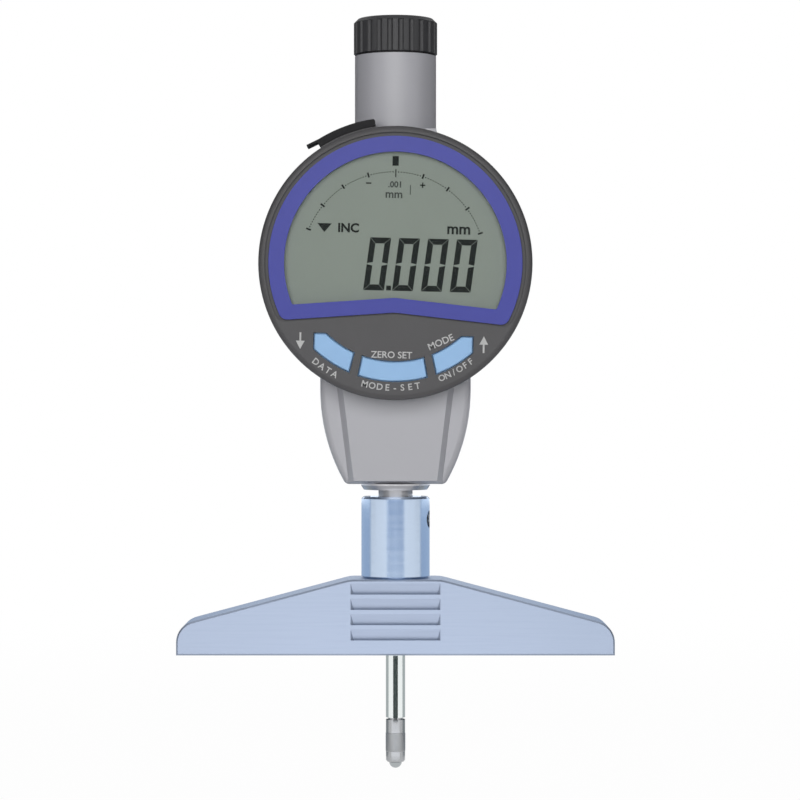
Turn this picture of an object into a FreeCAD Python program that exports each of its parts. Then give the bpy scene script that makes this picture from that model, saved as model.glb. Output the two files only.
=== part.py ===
import FreeCAD, Part
import math
import os

from FreeCAD import Vector

# Digital depth gauge: an electronic indicator with a turning display head, clamped by its stem
# in a wide depth base. Millimetres. The origin is the centre of the base's measuring face, on
# the spindle axis. +X is to the reader's right, +Y is to the back and +Z is up.

# Depth base
BASE_LENGTH = 101.6
BASE_DEPTH = 16.0
BASE_HEIGHT = 17.55
BASE_END_HEIGHT = 6.85
BASE_TOP_LENGTH = 21.3
BASE_END_RADIUS = 5.0
BASE_BLEND_RADIUS = 8.0
BASE_EDGE = 0.4
BASE_BORE_CLEARANCE = 0.35

# Finger grip: saw-tooth steps across the front and the back of the base
GRIP_COUNT = 4
GRIP_LENGTH = 20.8
GRIP_FIRST_LEDGE = 3.4
GRIP_PITCH = 3.54
GRIP_DEPTH = 0.8
GRIP_RISE = 2.7
GRIP_RAKE = 0.1

# Sleeve on the base that takes the gauge's stem, and its clamp screw
SLEEVE_DIAMETER = 16.0
SLEEVE_LENGTH = 19.05
SLEEVE_CHAMFER = 0.5
SLEEVE_SPIGOT_DIAMETER = 10.0
SLEEVE_SPIGOT_LENGTH = 8.0
SLEEVE_FLOOR = 1.6
SLEEVE_BORE_CLEARANCE = 0.02
CLAMP_HEIGHT = 13.75
CLAMP_DIAMETER = 4.0
CLAMP_TURN = 10.0
CLAMP_RECESS = 0.5
CLAMP_SOCKET_DIAMETER = 2.0
CLAMP_SOCKET_DEPTH = 1.6

# Stem, turned in one piece with its collar and its threaded shank
STEM_DIAMETER = 8.0
STEM_END_GAP = 0.2
STEM_SHOWING = 1.6
COLLAR_DIAMETER = 16.2
COLLAR_LOWER_DIAMETER = 14.8
COLLAR_HEIGHT = 1.45
COLLAR_LAND = 0.4
SHANK_DIAMETER = 10.0
SHANK_LENGTH = 12.0

# Spindle, contact point and bushes
SPINDLE_DIAMETER = 4.5
SPINDLE_STROKE = 27.6
SPINDLE_TOP_MARGIN = 1.4
SPINDLE_FACE_Z = -15.1
BUSH_CLEARANCE = 0.02
LOWER_BUSH_DIAMETER = 6.0
LOWER_BUSH_LENGTH = 10.0
UPPER_BUSH_DIAMETER = 6.5
SPINDLE_CHAMFER = 0.3
POINT_GROOVE = 0.5
POINT_NECK_DIAMETER = 3.4
POINT_CONE_Z = -25.1
POINT_TIP_Z = -27.0
POINT_CONE_DIAMETER = 4.0
POINT_CONE_EDGE = 0.35
POINT_SEAT_DIAMETER = 2.8
POINT_SEAT_SINK = 0.2
POINT_STUD_DIAMETER = 2.5
POINT_STUD_LENGTH = 5.0
BALL_DIAMETER = 3.0

# Case: one casting of round body, lower fairing and upper tube
HEAD_RISE = 50.65
CASE_RADIUS = 30.6
CASE_FRONT_Y = -9.5
CASE_BACK_Y = 8.0
CASE_WALL = 2.0
CASE_EDGE = 0.8
TUBE_DIAMETER = 19.0
TUBE_BORE = 16.0
TUBE_RISE = 49.2
NECK_DEPTH = 13.0
NECK_FILLET = 4.0
FAIRING_HALF_WIDTH = 17.45
FAIRING_ARC_RADIUS = 43.0
FAIRING_ARC_RISE = 21.75
FAIRING_EDGE = 1.4
FAIRING_CORNER = 1.5
PANEL_HEIGHT = 2.0
PANEL_HALF_TOP = 12.2
PANEL_HALF_BOTTOM = 9.6
PANEL_SLOPE = 1.5
PANEL_FOOT_SLOPE = 1.2
BOSS_RADIUS = 2.6
BOSS_INSET = 2.8
COVER_SCREWS = 4
SCREW_DIAMETER = 1.6

# Back cover, cell and cell cap
COVER_LEDGE = 1.2
COVER_THICKNESS = 1.5
COVER_EDGE = 0.5
COVER_CLEARANCE = 0.1
COVER_SCREW_HEAD_DIAMETER = 3.2
COVER_SCREW_HEAD_HEIGHT = 0.9
COVER_SCREW_LENGTH = 6.0
CELL_DIAMETER = 11.6
CELL_THICKNESS = 5.4
CELL_INSET = 11.6
CELL_ANGLE = 28.0
CELL_GAP = 0.3
CELL_WELL_WALL = 1.2
CELL_WELL_FLOOR = 0.8
CELL_CAP_DIAMETER = 16.0
CELL_CAP_FLANGE = 0.95
CELL_CAP_NECK = 1.1
CELL_CAP_CLEARANCE = 0.06
COIN_SLOT_WIDTH = 1.4
COIN_SLOT_LENGTH = 12.0
COIN_SLOT_DEPTH = 0.55

# Measuring system inside the case
CARRIER_HEIGHT = 8.0
CARRIER_CORNER = 1.0
CARRIER_DEPTH = 6.4
CARRIER_RIGHT = 4.5
CARRIER_SPARE = 0.6
SCALE_WIDTH = 6.0
SCALE_LENGTH = 34.0
SCALE_THICKNESS = 1.0
SCALE_FLOOR_GAP = 1.1
SENSOR_GAP = 0.5
SENSOR_BOARD_THICKNESS = 1.2
SENSOR_BOARD_WIDTH = 16.0
SENSOR_BOARD_LENGTH = 24.0
SENSOR_BOARD_X = -4.0
SENSOR_POST_RADIUS = 1.5
SENSOR_POST_SPREAD = 9.0
ROD_X = -9.5
ROD_DIAMETER = 1.6
ROD_CLEARANCE = 0.05
ROD_SEAT = 1.5
SPRING_ROD_GAP = 0.35
SPRING_COIL_RADIUS = 1.2
SPRING_WIRE = 0.34
SPRING_TURNS = 9
SPRING_SEAT_GAP = 0.3

# Top cap
CAP_DIAMETER = 19.5
CAP_HEIGHT = 8.2
CAP_CHAMFER = 0.95
CAP_RIBS = 24
CAP_GROOVE_RADIUS = 0.75
CAP_GROOVE_DEPTH = 0.45
CAP_PLUG_LENGTH = 5.0
CAP_PLUG_CLEARANCE = 0.05
CAP_HOLLOW_DIAMETER = 12.0
CAP_TOP_THICKNESS = 2.0
SEAL_THICKNESS = 0.5
SEAL_WIDTH = 1.2

# Display head: it turns on a hub in the case's front wall
HEAD_RADIUS = 31.2
HEAD_TURN = 1.4
HEAD_GAP = 0.3
HEAD_FRONT_Y = -20.5
HEAD_WALL = 1.8
HEAD_EDGE = 0.8
BEZEL_THICKNESS = 1.9
BEZEL_ROUND = 1.25
BEZEL_STEP_WIDTH = 0.9
BEZEL_STEP_FOOT = 0.45
BEZEL_STEP_DEPTH = 0.9
HUB_RADIUS = 12.95
HUB_CLEARANCE = 0.05
HUB_BORE_RADIUS = 9.5
WASHER_THICKNESS = 0.36
WASHER_PLAY = 0.02
WASHER_WIDTH = 2.1
RETAINER_LIP = 2.55
RETAINER_THICKNESS = 1.2
RETAINER_SCREWS = 3
RETAINER_SCREW_INSET = 1.65
SMALL_HEAD_DIAMETER = 2.8
SMALL_HEAD_HEIGHT = 0.7

# Display: frame, window and panel all have the same outline at different radii
FRAME_INSET = 2.35
FRAME_DROP = 11.3
FRAME_WIDTH = 3.65
WINDOW_DROP = 7.87
DISPLAY_SLOPE = 0.09
FRAME_CORNER = 2.0
WINDOW_CORNER = 0.6
PEAK_ROUND = 8.0
FRAME_THICKNESS = 1.2
FRAME_SINK = 0.1
FRAME_CLEARANCE = 0.08
WINDOW_SINK = 0.35
WINDOW_FLANGE = 0.9
PANEL_GLASS_MARGIN = 1.6
PANEL_GLASS_THICKNESS = 2.0
HOLDER_WALL = 1.1
HOLDER_FLOOR = 0.8
HOLDER_LEG_RADIUS = 1.0
HOLDER_LEG_X = 15.0
HOLDER_LEG_Z = (10.0, -6.0)
BOARD_MARGIN = 1.0
BOARD_FRONT_Y = -14.3
BOARD_THICKNESS = 1.2
BOARD_POST_RADIUS = 1.7
BOARD_POST_X = 22.5
BOARD_POST_Z = 8.2

# Keys: three caps in one ring-shaped band below the display
KEY_BAND_INNER = 22.6
KEY_BAND_OUTER = 26.8
CENTRE_KEY_INNER_HALF = 6.9
CENTRE_KEY_OUTER_HALF = 7.7
SIDE_KEY_INNER_X = 9.0
SIDE_KEY_OUTER_X = 10.0
SIDE_KEY_EDGE_X = 17.9
SIDE_KEY_TOP_DROP = 16.55
KEY_GAP = 0.3
KEY_PROUD = 0.55
KEY_EDGE = 0.2
KEY_FLANGE = 0.6
KEY_FLANGE_THICKNESS = 0.7
KEY_FLANGE_GAP = 0.12
KEY_TRAVEL = 0.5
KEY_PLUNGER_RADIUS = 1.5
KEY_PLUNGER_LENGTH = 0.6
KEY_PLUNGER_SPARE = 0.05
MAT_THICKNESS = 0.8
MAT_DOME_RADIUS = 1.8
MAT_TOP_DROP = 15.6
MAT_INSET = 0.4

# Data port in the head's rim, under a hinged rubber cover
PORT_ANGLE = 23.6
PORT_Y = -13.5
PORT_WIDTH = 9.4
PORT_HEIGHT = 3.6
SOCKET_DEPTH = 4.8
SOCKET_CAVITY_WIDTH = 7.4
SOCKET_CAVITY_HEIGHT = 2.4
SOCKET_CAVITY_DEPTH = 3.0
PORT_PAD_HEIGHT = 0.4
FLAP_GAP = 0.1
FLAP_THICKNESS = 1.7
FLAP_WIDTH = 6.8
FLAP_HINGE_ANGLE = 9.5
FLAP_END_ANGLE = 34.0
FLAP_CORNER = 0.5
FLAP_LIP_ANGLE = 4.3
FLAP_LIP_THICKNESS = 0.5
FLAP_LIP_RISE = 0.45
FLAP_PLUG_CLEARANCE = 0.3
FLAP_PLUG_DEPTH = 1.2

# Heights and depths that follow from the sizes above
SLEEVE_TOP_Z = BASE_HEIGHT + SLEEVE_LENGTH
SLEEVE_FLOOR_Z = BASE_HEIGHT + SLEEVE_FLOOR
SPIGOT_BOTTOM_Z = BASE_HEIGHT - SLEEVE_SPIGOT_LENGTH
STEM_BOTTOM_Z = SLEEVE_FLOOR_Z + STEM_END_GAP
COLLAR_BOTTOM_Z = SLEEVE_TOP_Z + STEM_SHOWING
COLLAR_TOP_Z = COLLAR_BOTTOM_Z + COLLAR_HEIGHT
FAIRING_BOTTOM_Z = COLLAR_TOP_Z
FAIRING_ARC_TOP_Z = FAIRING_BOTTOM_Z + FAIRING_ARC_RISE
HEAD_AXIS_Z = FAIRING_BOTTOM_Z + HEAD_RISE
TUBE_TOP_Z = HEAD_AXIS_Z + TUBE_RISE
SHANK_TOP_Z = FAIRING_BOTTOM_Z + SHANK_LENGTH
SPINDLE_RADIUS = SPINDLE_DIAMETER / 2
PASSAGE_RADIUS = SPINDLE_RADIUS + BASE_BORE_CLEARANCE
BUSH_BORE_RADIUS = SPINDLE_RADIUS + BUSH_CLEARANCE
CAP_BOTTOM_Z = TUBE_TOP_Z + SEAL_THICKNESS
PLUG_BOTTOM_Z = CAP_BOTTOM_Z - CAP_PLUG_LENGTH
SPINDLE_TOP_Z = PLUG_BOTTOM_Z - SPINDLE_TOP_MARGIN - SPINDLE_STROKE
CAVITY_RADIUS = CASE_RADIUS - CASE_WALL
BOSS_CIRCLE = CAVITY_RADIUS - BOSS_INSET
COVER_RADIUS = CASE_RADIUS - COVER_LEDGE
CAVITY_FLOOR_Z = HEAD_AXIS_Z - math.sqrt(CAVITY_RADIUS ** 2 - (SCALE_WIDTH / 2) ** 2)
SCALE_BOTTOM_Z = CAVITY_FLOOR_Z + SCALE_FLOOR_GAP
CARRIER_BOTTOM_Z = SCALE_BOTTOM_Z + (SCALE_LENGTH - CARRIER_HEIGHT) / 2
WALL_BACK_Y = CASE_FRONT_Y + CASE_WALL
COVER_BACK_Y = CASE_BACK_Y + COVER_THICKNESS
CARRIER_BACK_Y = CARRIER_DEPTH / 2
SCALE_BACK_Y = CARRIER_BACK_Y + SCALE_THICKNESS
SENSOR_FRONT_Y = SCALE_BACK_Y + SENSOR_GAP
SENSOR_BACK_Y = SENSOR_FRONT_Y + SENSOR_BOARD_THICKNESS
SPRING_OUTER_RADIUS = SPRING_COIL_RADIUS + SPRING_WIRE / 2
SPRING_X = ROD_X - ROD_DIAMETER / 2 - SPRING_ROD_GAP - SPRING_OUTER_RADIUS
CARRIER_LEFT_X = SPRING_X - SPRING_OUTER_RADIUS - CARRIER_SPARE
CELL_X = (CAVITY_RADIUS - CELL_INSET) * math.cos(math.radians(CELL_ANGLE))
CELL_DZ = (CAVITY_RADIUS - CELL_INSET) * math.sin(math.radians(CELL_ANGLE))
CELL_WELL_RADIUS = CELL_DIAMETER / 2 + CELL_GAP
CAP_FLANGE_FRONT_Y = COVER_BACK_Y - CELL_CAP_FLANGE
CAP_NECK_FRONT_Y = CAP_FLANGE_FRONT_Y - CELL_CAP_NECK
CELL_BACK_Y = CAP_NECK_FRONT_Y - CELL_GAP / 2
CELL_FRONT_Y = CELL_BACK_Y - CELL_THICKNESS
HEAD_BACK_Y = CASE_FRONT_Y - HEAD_GAP
HEAD_FLOOR_Y = HEAD_BACK_Y - HEAD_WALL
BEZEL_BACK_Y = HEAD_FRONT_Y + BEZEL_THICKNESS
WASHER_FRONT_Y = WALL_BACK_Y + WASHER_PLAY
HUB_END_Y = WASHER_FRONT_Y + WASHER_THICKNESS + WASHER_PLAY
RETAINER_BACK_Y = HUB_END_Y + RETAINER_THICKNESS
RETAINER_RADIUS = HUB_RADIUS + RETAINER_LIP
RETAINER_SCREW_CIRCLE = HUB_RADIUS - RETAINER_SCREW_INSET
FRAME_RADIUS = HEAD_RADIUS - FRAME_INSET
WINDOW_RADIUS = FRAME_RADIUS - FRAME_WIDTH
FRAME_FRONT_Y = HEAD_FRONT_Y + FRAME_SINK
FRAME_BACK_Y = FRAME_FRONT_Y + FRAME_THICKNESS
WINDOW_FRONT_Y = HEAD_FRONT_Y + WINDOW_SINK
GLASS_FRONT_Y = BEZEL_BACK_Y + HEAD_GAP
GLASS_BACK_Y = GLASS_FRONT_Y + PANEL_GLASS_THICKNESS
HOLDER_BACK_Y = GLASS_BACK_Y + HOLDER_FLOOR
BOARD_BACK_Y = BOARD_FRONT_Y + BOARD_THICKNESS
MAT_FRONT_Y = BOARD_FRONT_Y - MAT_THICKNESS
KEY_FRONT_Y = HEAD_FRONT_Y - KEY_PROUD
KEY_FLANGE_FRONT_Y = BEZEL_BACK_Y + KEY_FLANGE_GAP
KEY_FLANGE_BACK_Y = KEY_FLANGE_FRONT_Y + KEY_FLANGE_THICKNESS
KEY_PLUNGER_BACK_Y = KEY_FLANGE_BACK_Y + KEY_PLUNGER_LENGTH
DOME_FRONT_Y = KEY_PLUNGER_BACK_Y + KEY_TRAVEL + KEY_PLUNGER_SPARE
PORT_FRONT_Y = PORT_Y - PORT_HEIGHT / 2
PORT_BACK_Y = PORT_Y + PORT_HEIGHT / 2
HEAD_INNER_RADIUS = HEAD_RADIUS - HEAD_WALL
BOARD_RADIUS = HEAD_INNER_RADIUS - BOARD_MARGIN
MAT_EDGE_RADIUS = BOARD_RADIUS - MAT_INSET
PORT_PAD_RADIUS = HEAD_RADIUS + PORT_PAD_HEIGHT
FLAP_INNER_RADIUS = PORT_PAD_RADIUS + FLAP_GAP
FLAP_OUTER_RADIUS = FLAP_INNER_RADIUS + FLAP_THICKNESS
FLAP_FRONT_Y = PORT_Y - FLAP_WIDTH / 2
FLAP_BACK_Y = PORT_Y + FLAP_WIDTH / 2

OVERSHOOT = 1.0
Z_AXIS = Vector(0, 0, 1)
Y_AXIS = Vector(0, 1, 0)


def closed_face(points):
    """A flat face inside straight lines through the points."""
    return Part.Face(Part.makePolygon(points + [points[0]]))


def box(x0, x1, y0, y1, z0, z1):
    """A block between two corners."""
    return Part.makeBox(x1 - x0, y1 - y0, z1 - z0, Vector(x0, y0, z0))


def rod_z(radius, z0, z1, x=0.0, y=0.0):
    """A cylinder along Z."""
    return Part.makeCylinder(radius, z1 - z0, Vector(x, y, z0), Z_AXIS)


def rod_y(radius, y0, y1, x=0.0, z=0.0):
    """A cylinder along Y."""
    return Part.makeCylinder(radius, y1 - y0, Vector(x, y0, z), Y_AXIS)


def ring_y(outer, inner, y0, y1):
    """A flat ring round the Y axis."""
    return rod_y(outer, y0, y1).cut(rod_y(inner, y0 - OVERSHOOT, y1 + OVERSHOOT))


def turned_z(profile):
    """A body turned about Z from (radius, z) points."""
    face = closed_face([Vector(r, 0, z) for r, z in profile])
    return face.revolve(Vector(0, 0, 0), Z_AXIS, 360)


def turned_y(profile):
    """A body turned about Y from (radius, y) points."""
    face = closed_face([Vector(r, y, 0) for r, y in profile])
    return face.revolve(Vector(0, 0, 0), Y_AXIS, 360)


def plate_y(wire, y0, y1):
    """A plate from y0 to y1 whose outline is a wire drawn at y = 0."""
    face = Part.Face(wire)
    face.translate(Vector(0, y0, 0))
    return face.extrude(Vector(0, y1 - y0, 0))


def fused(shapes):
    """All the shapes as one solid."""
    return shapes[0].multiFuse(shapes[1:]).removeSplitter()


def on_circle(radius, degrees):
    """A point in the XZ plane, by its angle from +X towards +Z."""
    angle = math.radians(degrees)
    return Vector(radius * math.cos(angle), 0, radius * math.sin(angle))


def placed_on_head_axis(shape):
    """Lift a shape that was drawn round the Y axis to the head's axis."""
    moved = shape.copy()
    moved.translate(Vector(0, 0, HEAD_AXIS_Z))
    return moved


def placed_in_head(shape):
    """Turn a head piece by the head's angle at rest and lift it to the head's axis."""
    turned = shape.copy()
    turned.rotate(Vector(0, 0, 0), Y_AXIS, HEAD_TURN)
    return placed_on_head_axis(turned)


def grip_cutter(ledge_z, side):
    """One saw-tooth step with sloping ends and an undercut ledge, on the front (side -1) or the back (1)."""
    grow = (GRIP_DEPTH + OVERSHOOT) / GRIP_DEPTH
    outer_y = side * (BASE_DEPTH / 2 + OVERSHOOT)
    ridge_y = side * (BASE_DEPTH / 2 - GRIP_DEPTH)
    outer_x = GRIP_LENGTH / 2 + OVERSHOOT
    ridge_x = GRIP_LENGTH / 2 - GRIP_DEPTH
    low_z = ledge_z + GRIP_RAKE * grow
    high_z = ledge_z + GRIP_RISE * grow
    low = [Vector(-outer_x, outer_y, low_z), Vector(outer_x, outer_y, low_z)]
    high = [Vector(-outer_x, outer_y, high_z), Vector(outer_x, outer_y, high_z)]
    ridge = [Vector(-ridge_x, ridge_y, ledge_z), Vector(ridge_x, ridge_y, ledge_z)]
    faces = [
        closed_face([low[0], low[1], high[1], high[0]]),
        closed_face([low[0], low[1], ridge[1], ridge[0]]),
        closed_face([high[0], high[1], ridge[1], ridge[0]]),
        closed_face([low[0], high[0], ridge[0]]),
        closed_face([low[1], high[1], ridge[1]]),
    ]
    cutter = Part.makeSolid(Part.makeShell(faces))
    if cutter.Volume < 0:
        cutter.reverse()
    return cutter


def make_base_bar():
    half = BASE_LENGTH / 2
    top = BASE_TOP_LENGTH / 2
    profile = closed_face([
        Vector(-half, 0, 0), Vector(half, 0, 0), Vector(half, 0, BASE_END_HEIGHT),
        Vector(top, 0, BASE_HEIGHT), Vector(-top, 0, BASE_HEIGHT), Vector(-half, 0, BASE_END_HEIGHT),
    ])
    profile.translate(Vector(0, -BASE_DEPTH / 2, 0))
    bar = profile.extrude(Vector(0, BASE_DEPTH, 0))
    ends = [e for e in bar.Edges if is_along_y(e) and is_at(e, half, BASE_END_HEIGHT)]
    bar = bar.makeFillet(BASE_END_RADIUS, ends)
    blends = [e for e in bar.Edges if is_along_y(e) and is_at(e, top, BASE_HEIGHT)]
    bar = bar.makeFillet(BASE_BLEND_RADIUS, blends)
    rims = [e for e in bar.Edges if not is_along_y(e)]
    bar = bar.makeChamfer(BASE_EDGE, rims)
    for row in range(GRIP_COUNT):
        for side in (-1, 1):
            bar = bar.cut(grip_cutter(GRIP_FIRST_LEDGE + row * GRIP_PITCH, side))
    bar = bar.cut(rod_z(PASSAGE_RADIUS, -OVERSHOOT, BASE_HEIGHT + OVERSHOOT))
    return bar.cut(rod_z(SLEEVE_SPIGOT_DIAMETER / 2, SPIGOT_BOTTOM_Z, BASE_HEIGHT + OVERSHOOT))


def is_along_y(edge):
    """Does a straight edge run along Y?"""
    first, last = edge.Vertexes[0].Point, edge.Vertexes[-1].Point
    return abs(first.x - last.x) + abs(first.z - last.z) < 1e-6 < abs(first.y - last.y)


def is_at(edge, x, z):
    """Does an edge along Y stand at this distance from the YZ plane and this height?"""
    point = edge.Vertexes[0].Point
    return abs(abs(point.x) - x) < 1e-6 and abs(point.z - z) < 1e-6


def clamp_hole(radius, inner, outer):
    """A cylinder along the clamp screw's line, from one distance off the spindle axis to another."""
    hole = Part.makeCylinder(radius, outer - inner, Vector(inner, 0, 0), Vector(1, 0, 0))
    hole.rotate(Vector(0, 0, 0), Z_AXIS, -CLAMP_TURN)
    hole.translate(Vector(0, 0, BASE_HEIGHT + CLAMP_HEIGHT))
    return hole


def make_stem_sleeve():
    outer = SLEEVE_DIAMETER / 2
    spigot = SLEEVE_SPIGOT_DIAMETER / 2
    bore = STEM_DIAMETER / 2 + SLEEVE_BORE_CLEARANCE
    sleeve = turned_z([
        (PASSAGE_RADIUS, SPIGOT_BOTTOM_Z), (spigot, SPIGOT_BOTTOM_Z), (spigot, BASE_HEIGHT),
        (outer - SLEEVE_CHAMFER, BASE_HEIGHT), (outer, BASE_HEIGHT + SLEEVE_CHAMFER),
        (outer, SLEEVE_TOP_Z - SLEEVE_CHAMFER), (outer - SLEEVE_CHAMFER, SLEEVE_TOP_Z),
        (bore, SLEEVE_TOP_Z), (bore, SLEEVE_FLOOR_Z), (PASSAGE_RADIUS, SLEEVE_FLOOR_Z),
    ])
    return sleeve.cut(clamp_hole(CLAMP_DIAMETER / 2, STEM_DIAMETER / 4, outer + OVERSHOOT))


def make_clamp_screw():
    inner = STEM_DIAMETER / 2
    outer = SLEEVE_DIAMETER / 2 - CLAMP_RECESS
    screw = clamp_hole(CLAMP_DIAMETER / 2, STEM_DIAMETER / 4, outer)
    stem = rod_z(inner, SLEEVE_FLOOR_Z, SLEEVE_TOP_Z)
    socket = clamp_hole(CLAMP_SOCKET_DIAMETER / 2, outer - CLAMP_SOCKET_DEPTH, outer + OVERSHOOT)
    return screw.cut(stem).cut(socket)


def make_stem():
    stem = STEM_DIAMETER / 2
    bush = LOWER_BUSH_DIAMETER / 2
    shank = SHANK_DIAMETER / 2
    return turned_z([
        (bush, STEM_BOTTOM_Z), (stem, STEM_BOTTOM_Z), (stem, COLLAR_BOTTOM_Z),
        (COLLAR_LOWER_DIAMETER / 2, COLLAR_BOTTOM_Z),
        (COLLAR_DIAMETER / 2, COLLAR_TOP_Z - COLLAR_LAND), (COLLAR_DIAMETER / 2, COLLAR_TOP_Z),
        (shank, COLLAR_TOP_Z), (shank, SHANK_TOP_Z), (PASSAGE_RADIUS, SHANK_TOP_Z),
        (PASSAGE_RADIUS, STEM_BOTTOM_Z + LOWER_BUSH_LENGTH), (bush, STEM_BOTTOM_Z + LOWER_BUSH_LENGTH),
    ])


def make_bush(diameter, bottom_z, top_z):
    return rod_z(diameter / 2, bottom_z, top_z).cut(
        rod_z(BUSH_BORE_RADIUS, bottom_z - OVERSHOOT, top_z + OVERSHOOT))


def make_spindle():
    spindle = rod_z(SPINDLE_RADIUS, SPINDLE_FACE_Z, SPINDLE_TOP_Z)
    spindle = spindle.makeChamfer(SPINDLE_CHAMFER, [spindle.Edges[0]])
    return spindle.cut(rod_z(POINT_STUD_DIAMETER / 2, SPINDLE_FACE_Z, SPINDLE_FACE_Z + POINT_STUD_LENGTH))


def contact_ball():
    return Part.makeSphere(BALL_DIAMETER / 2, Vector(0, 0, POINT_TIP_Z + BALL_DIAMETER / 2))


def make_contact_point():
    neck = POINT_NECK_DIAMETER / 2
    stud = POINT_STUD_DIAMETER / 2
    band = SPINDLE_RADIUS
    tip_z = POINT_TIP_Z + BALL_DIAMETER / 2 - POINT_SEAT_SINK
    point = turned_z([
        (0, tip_z), (POINT_SEAT_DIAMETER / 2, tip_z),
        (POINT_CONE_DIAMETER / 2, POINT_CONE_Z - POINT_CONE_EDGE),
        (band, POINT_CONE_Z), (band, SPINDLE_FACE_Z - POINT_GROOVE),
        (neck, SPINDLE_FACE_Z - POINT_GROOVE), (neck, SPINDLE_FACE_Z), (stud, SPINDLE_FACE_Z),
        (stud, SPINDLE_FACE_Z + POINT_STUD_LENGTH), (0, SPINDLE_FACE_Z + POINT_STUD_LENGTH),
    ])
    return point.cut(contact_ball())


def fairing_block(inset, front_y, back_y):
    """The lower body as a plate: a curved wedge seen from the front, with rounded foot corners."""
    half = FAIRING_HALF_WIDTH - inset
    radius = FAIRING_ARC_RADIUS
    drop = FAIRING_ARC_TOP_Z - FAIRING_BOTTOM_Z
    bottom_half = half - radius + math.sqrt(radius ** 2 - drop ** 2)
    middle_half = half - radius + math.sqrt(radius ** 2 - (drop / 2) ** 2)
    points = [
        Vector(-bottom_half, 0, FAIRING_BOTTOM_Z), Vector(bottom_half, 0, FAIRING_BOTTOM_Z),
        Vector(half, 0, FAIRING_ARC_TOP_Z), Vector(half, 0, HEAD_AXIS_Z), Vector(-half, 0, HEAD_AXIS_Z),
        Vector(-half, 0, FAIRING_ARC_TOP_Z),
    ]
    middle = Vector(middle_half, 0, FAIRING_ARC_TOP_Z - drop / 2)
    mirrored = Vector(-middle.x, 0, middle.z)
    wire = Part.Wire([
        Part.makeLine(points[0], points[1]), Part.Arc(points[1], middle, points[2]).toShape(),
        Part.makeLine(points[2], points[3]), Part.makeLine(points[3], points[4]),
        Part.makeLine(points[4], points[5]), Part.Arc(points[5], mirrored, points[0]).toShape(),
    ])
    block = plate_y(wire, front_y, back_y)
    corners = [e for e in block.Edges if is_along_y(e) and is_at(e, bottom_half, FAIRING_BOTTOM_Z)]
    return block.makeFillet(FAIRING_CORNER, corners)


def make_fairing():
    """The lower body with rounded edges."""
    body = fairing_block(0, CASE_FRONT_Y + PANEL_HEIGHT, CASE_BACK_Y)
    rims = [e for e in body.Edges if not is_along_y(e) and e.BoundBox.ZMax < HEAD_AXIS_Z - 1e-3]
    return body.makeFillet(FAIRING_EDGE, rims)


def make_raised_panel():
    """The raised front panel of the lower body: a frustum with steep sides and rounded foot corners."""
    front_y = CASE_FRONT_Y
    back_y = CASE_FRONT_Y + PANEL_HEIGHT + FAIRING_EDGE
    grow = PANEL_SLOPE * (back_y - front_y) / PANEL_HEIGHT
    slope = (PANEL_HALF_TOP - PANEL_HALF_BOTTOM) / (FAIRING_ARC_TOP_Z - FAIRING_BOTTOM_Z)
    top_half = PANEL_HALF_TOP + slope * (HEAD_AXIS_Z - FAIRING_ARC_TOP_Z)
    foot_grow = PANEL_FOOT_SLOPE * (back_y - front_y) / PANEL_HEIGHT
    front = panel_outline(PANEL_HALF_BOTTOM, top_half, front_y, FAIRING_BOTTOM_Z + CASE_EDGE)
    back = panel_outline(PANEL_HALF_BOTTOM + foot_grow, top_half + grow, back_y, FAIRING_BOTTOM_Z)
    panel = Part.makeLoft([front, back], True, True)
    return panel.common(fairing_block(FAIRING_EDGE / 2, front_y - OVERSHOOT, CASE_BACK_Y))


def panel_outline(bottom_half, top_half, y, bottom_z):
    """An upright trapezium at one depth, up to the head's axis."""
    return Part.makePolygon([
        Vector(-bottom_half, y, bottom_z), Vector(bottom_half, y, bottom_z),
        Vector(top_half, y, HEAD_AXIS_Z), Vector(-top_half, y, HEAD_AXIS_Z),
        Vector(-bottom_half, y, bottom_z),
    ])


def make_neck():
    """The flared shoulder between the round body and the tube."""
    half = TUBE_DIAMETER / 2
    blend_x = half + NECK_FILLET
    centre_z = math.sqrt((CASE_RADIUS + NECK_FILLET) ** 2 - blend_x ** 2)
    share = CASE_RADIUS / (CASE_RADIUS + NECK_FILLET)
    foot = Vector(blend_x * share, 0, centre_z * share)
    top = Vector(half, 0, centre_z)
    chord = Vector((top.x + foot.x) / 2 - blend_x, 0, (top.z + foot.z) / 2 - centre_z)
    chord.multiply(NECK_FILLET / chord.Length)
    middle = Vector(blend_x + chord.x, 0, centre_z + chord.z)
    root = Vector(foot.x, 0, CASE_RADIUS / 2)
    mirrored = [Vector(-p.x, 0, p.z) for p in (foot, middle, top, root)]
    left_foot, left_middle, left_top, left_root = mirrored
    wire = Part.Wire([
        Part.Arc(foot, middle, top).toShape(), Part.makeLine(top, left_top),
        Part.Arc(left_top, left_middle, left_foot).toShape(), Part.makeLine(left_foot, left_root),
        Part.makeLine(left_root, root), Part.makeLine(root, foot),
    ])
    return plate_y(wire, -NECK_DEPTH / 2, NECK_DEPTH / 2)


def cover_screw_spots():
    """Centres of the back cover's screws, round the head's axis."""
    step = 360 / COVER_SCREWS
    return [on_circle(BOSS_CIRCLE, step / 2 + step * n) for n in range(COVER_SCREWS)]


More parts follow.
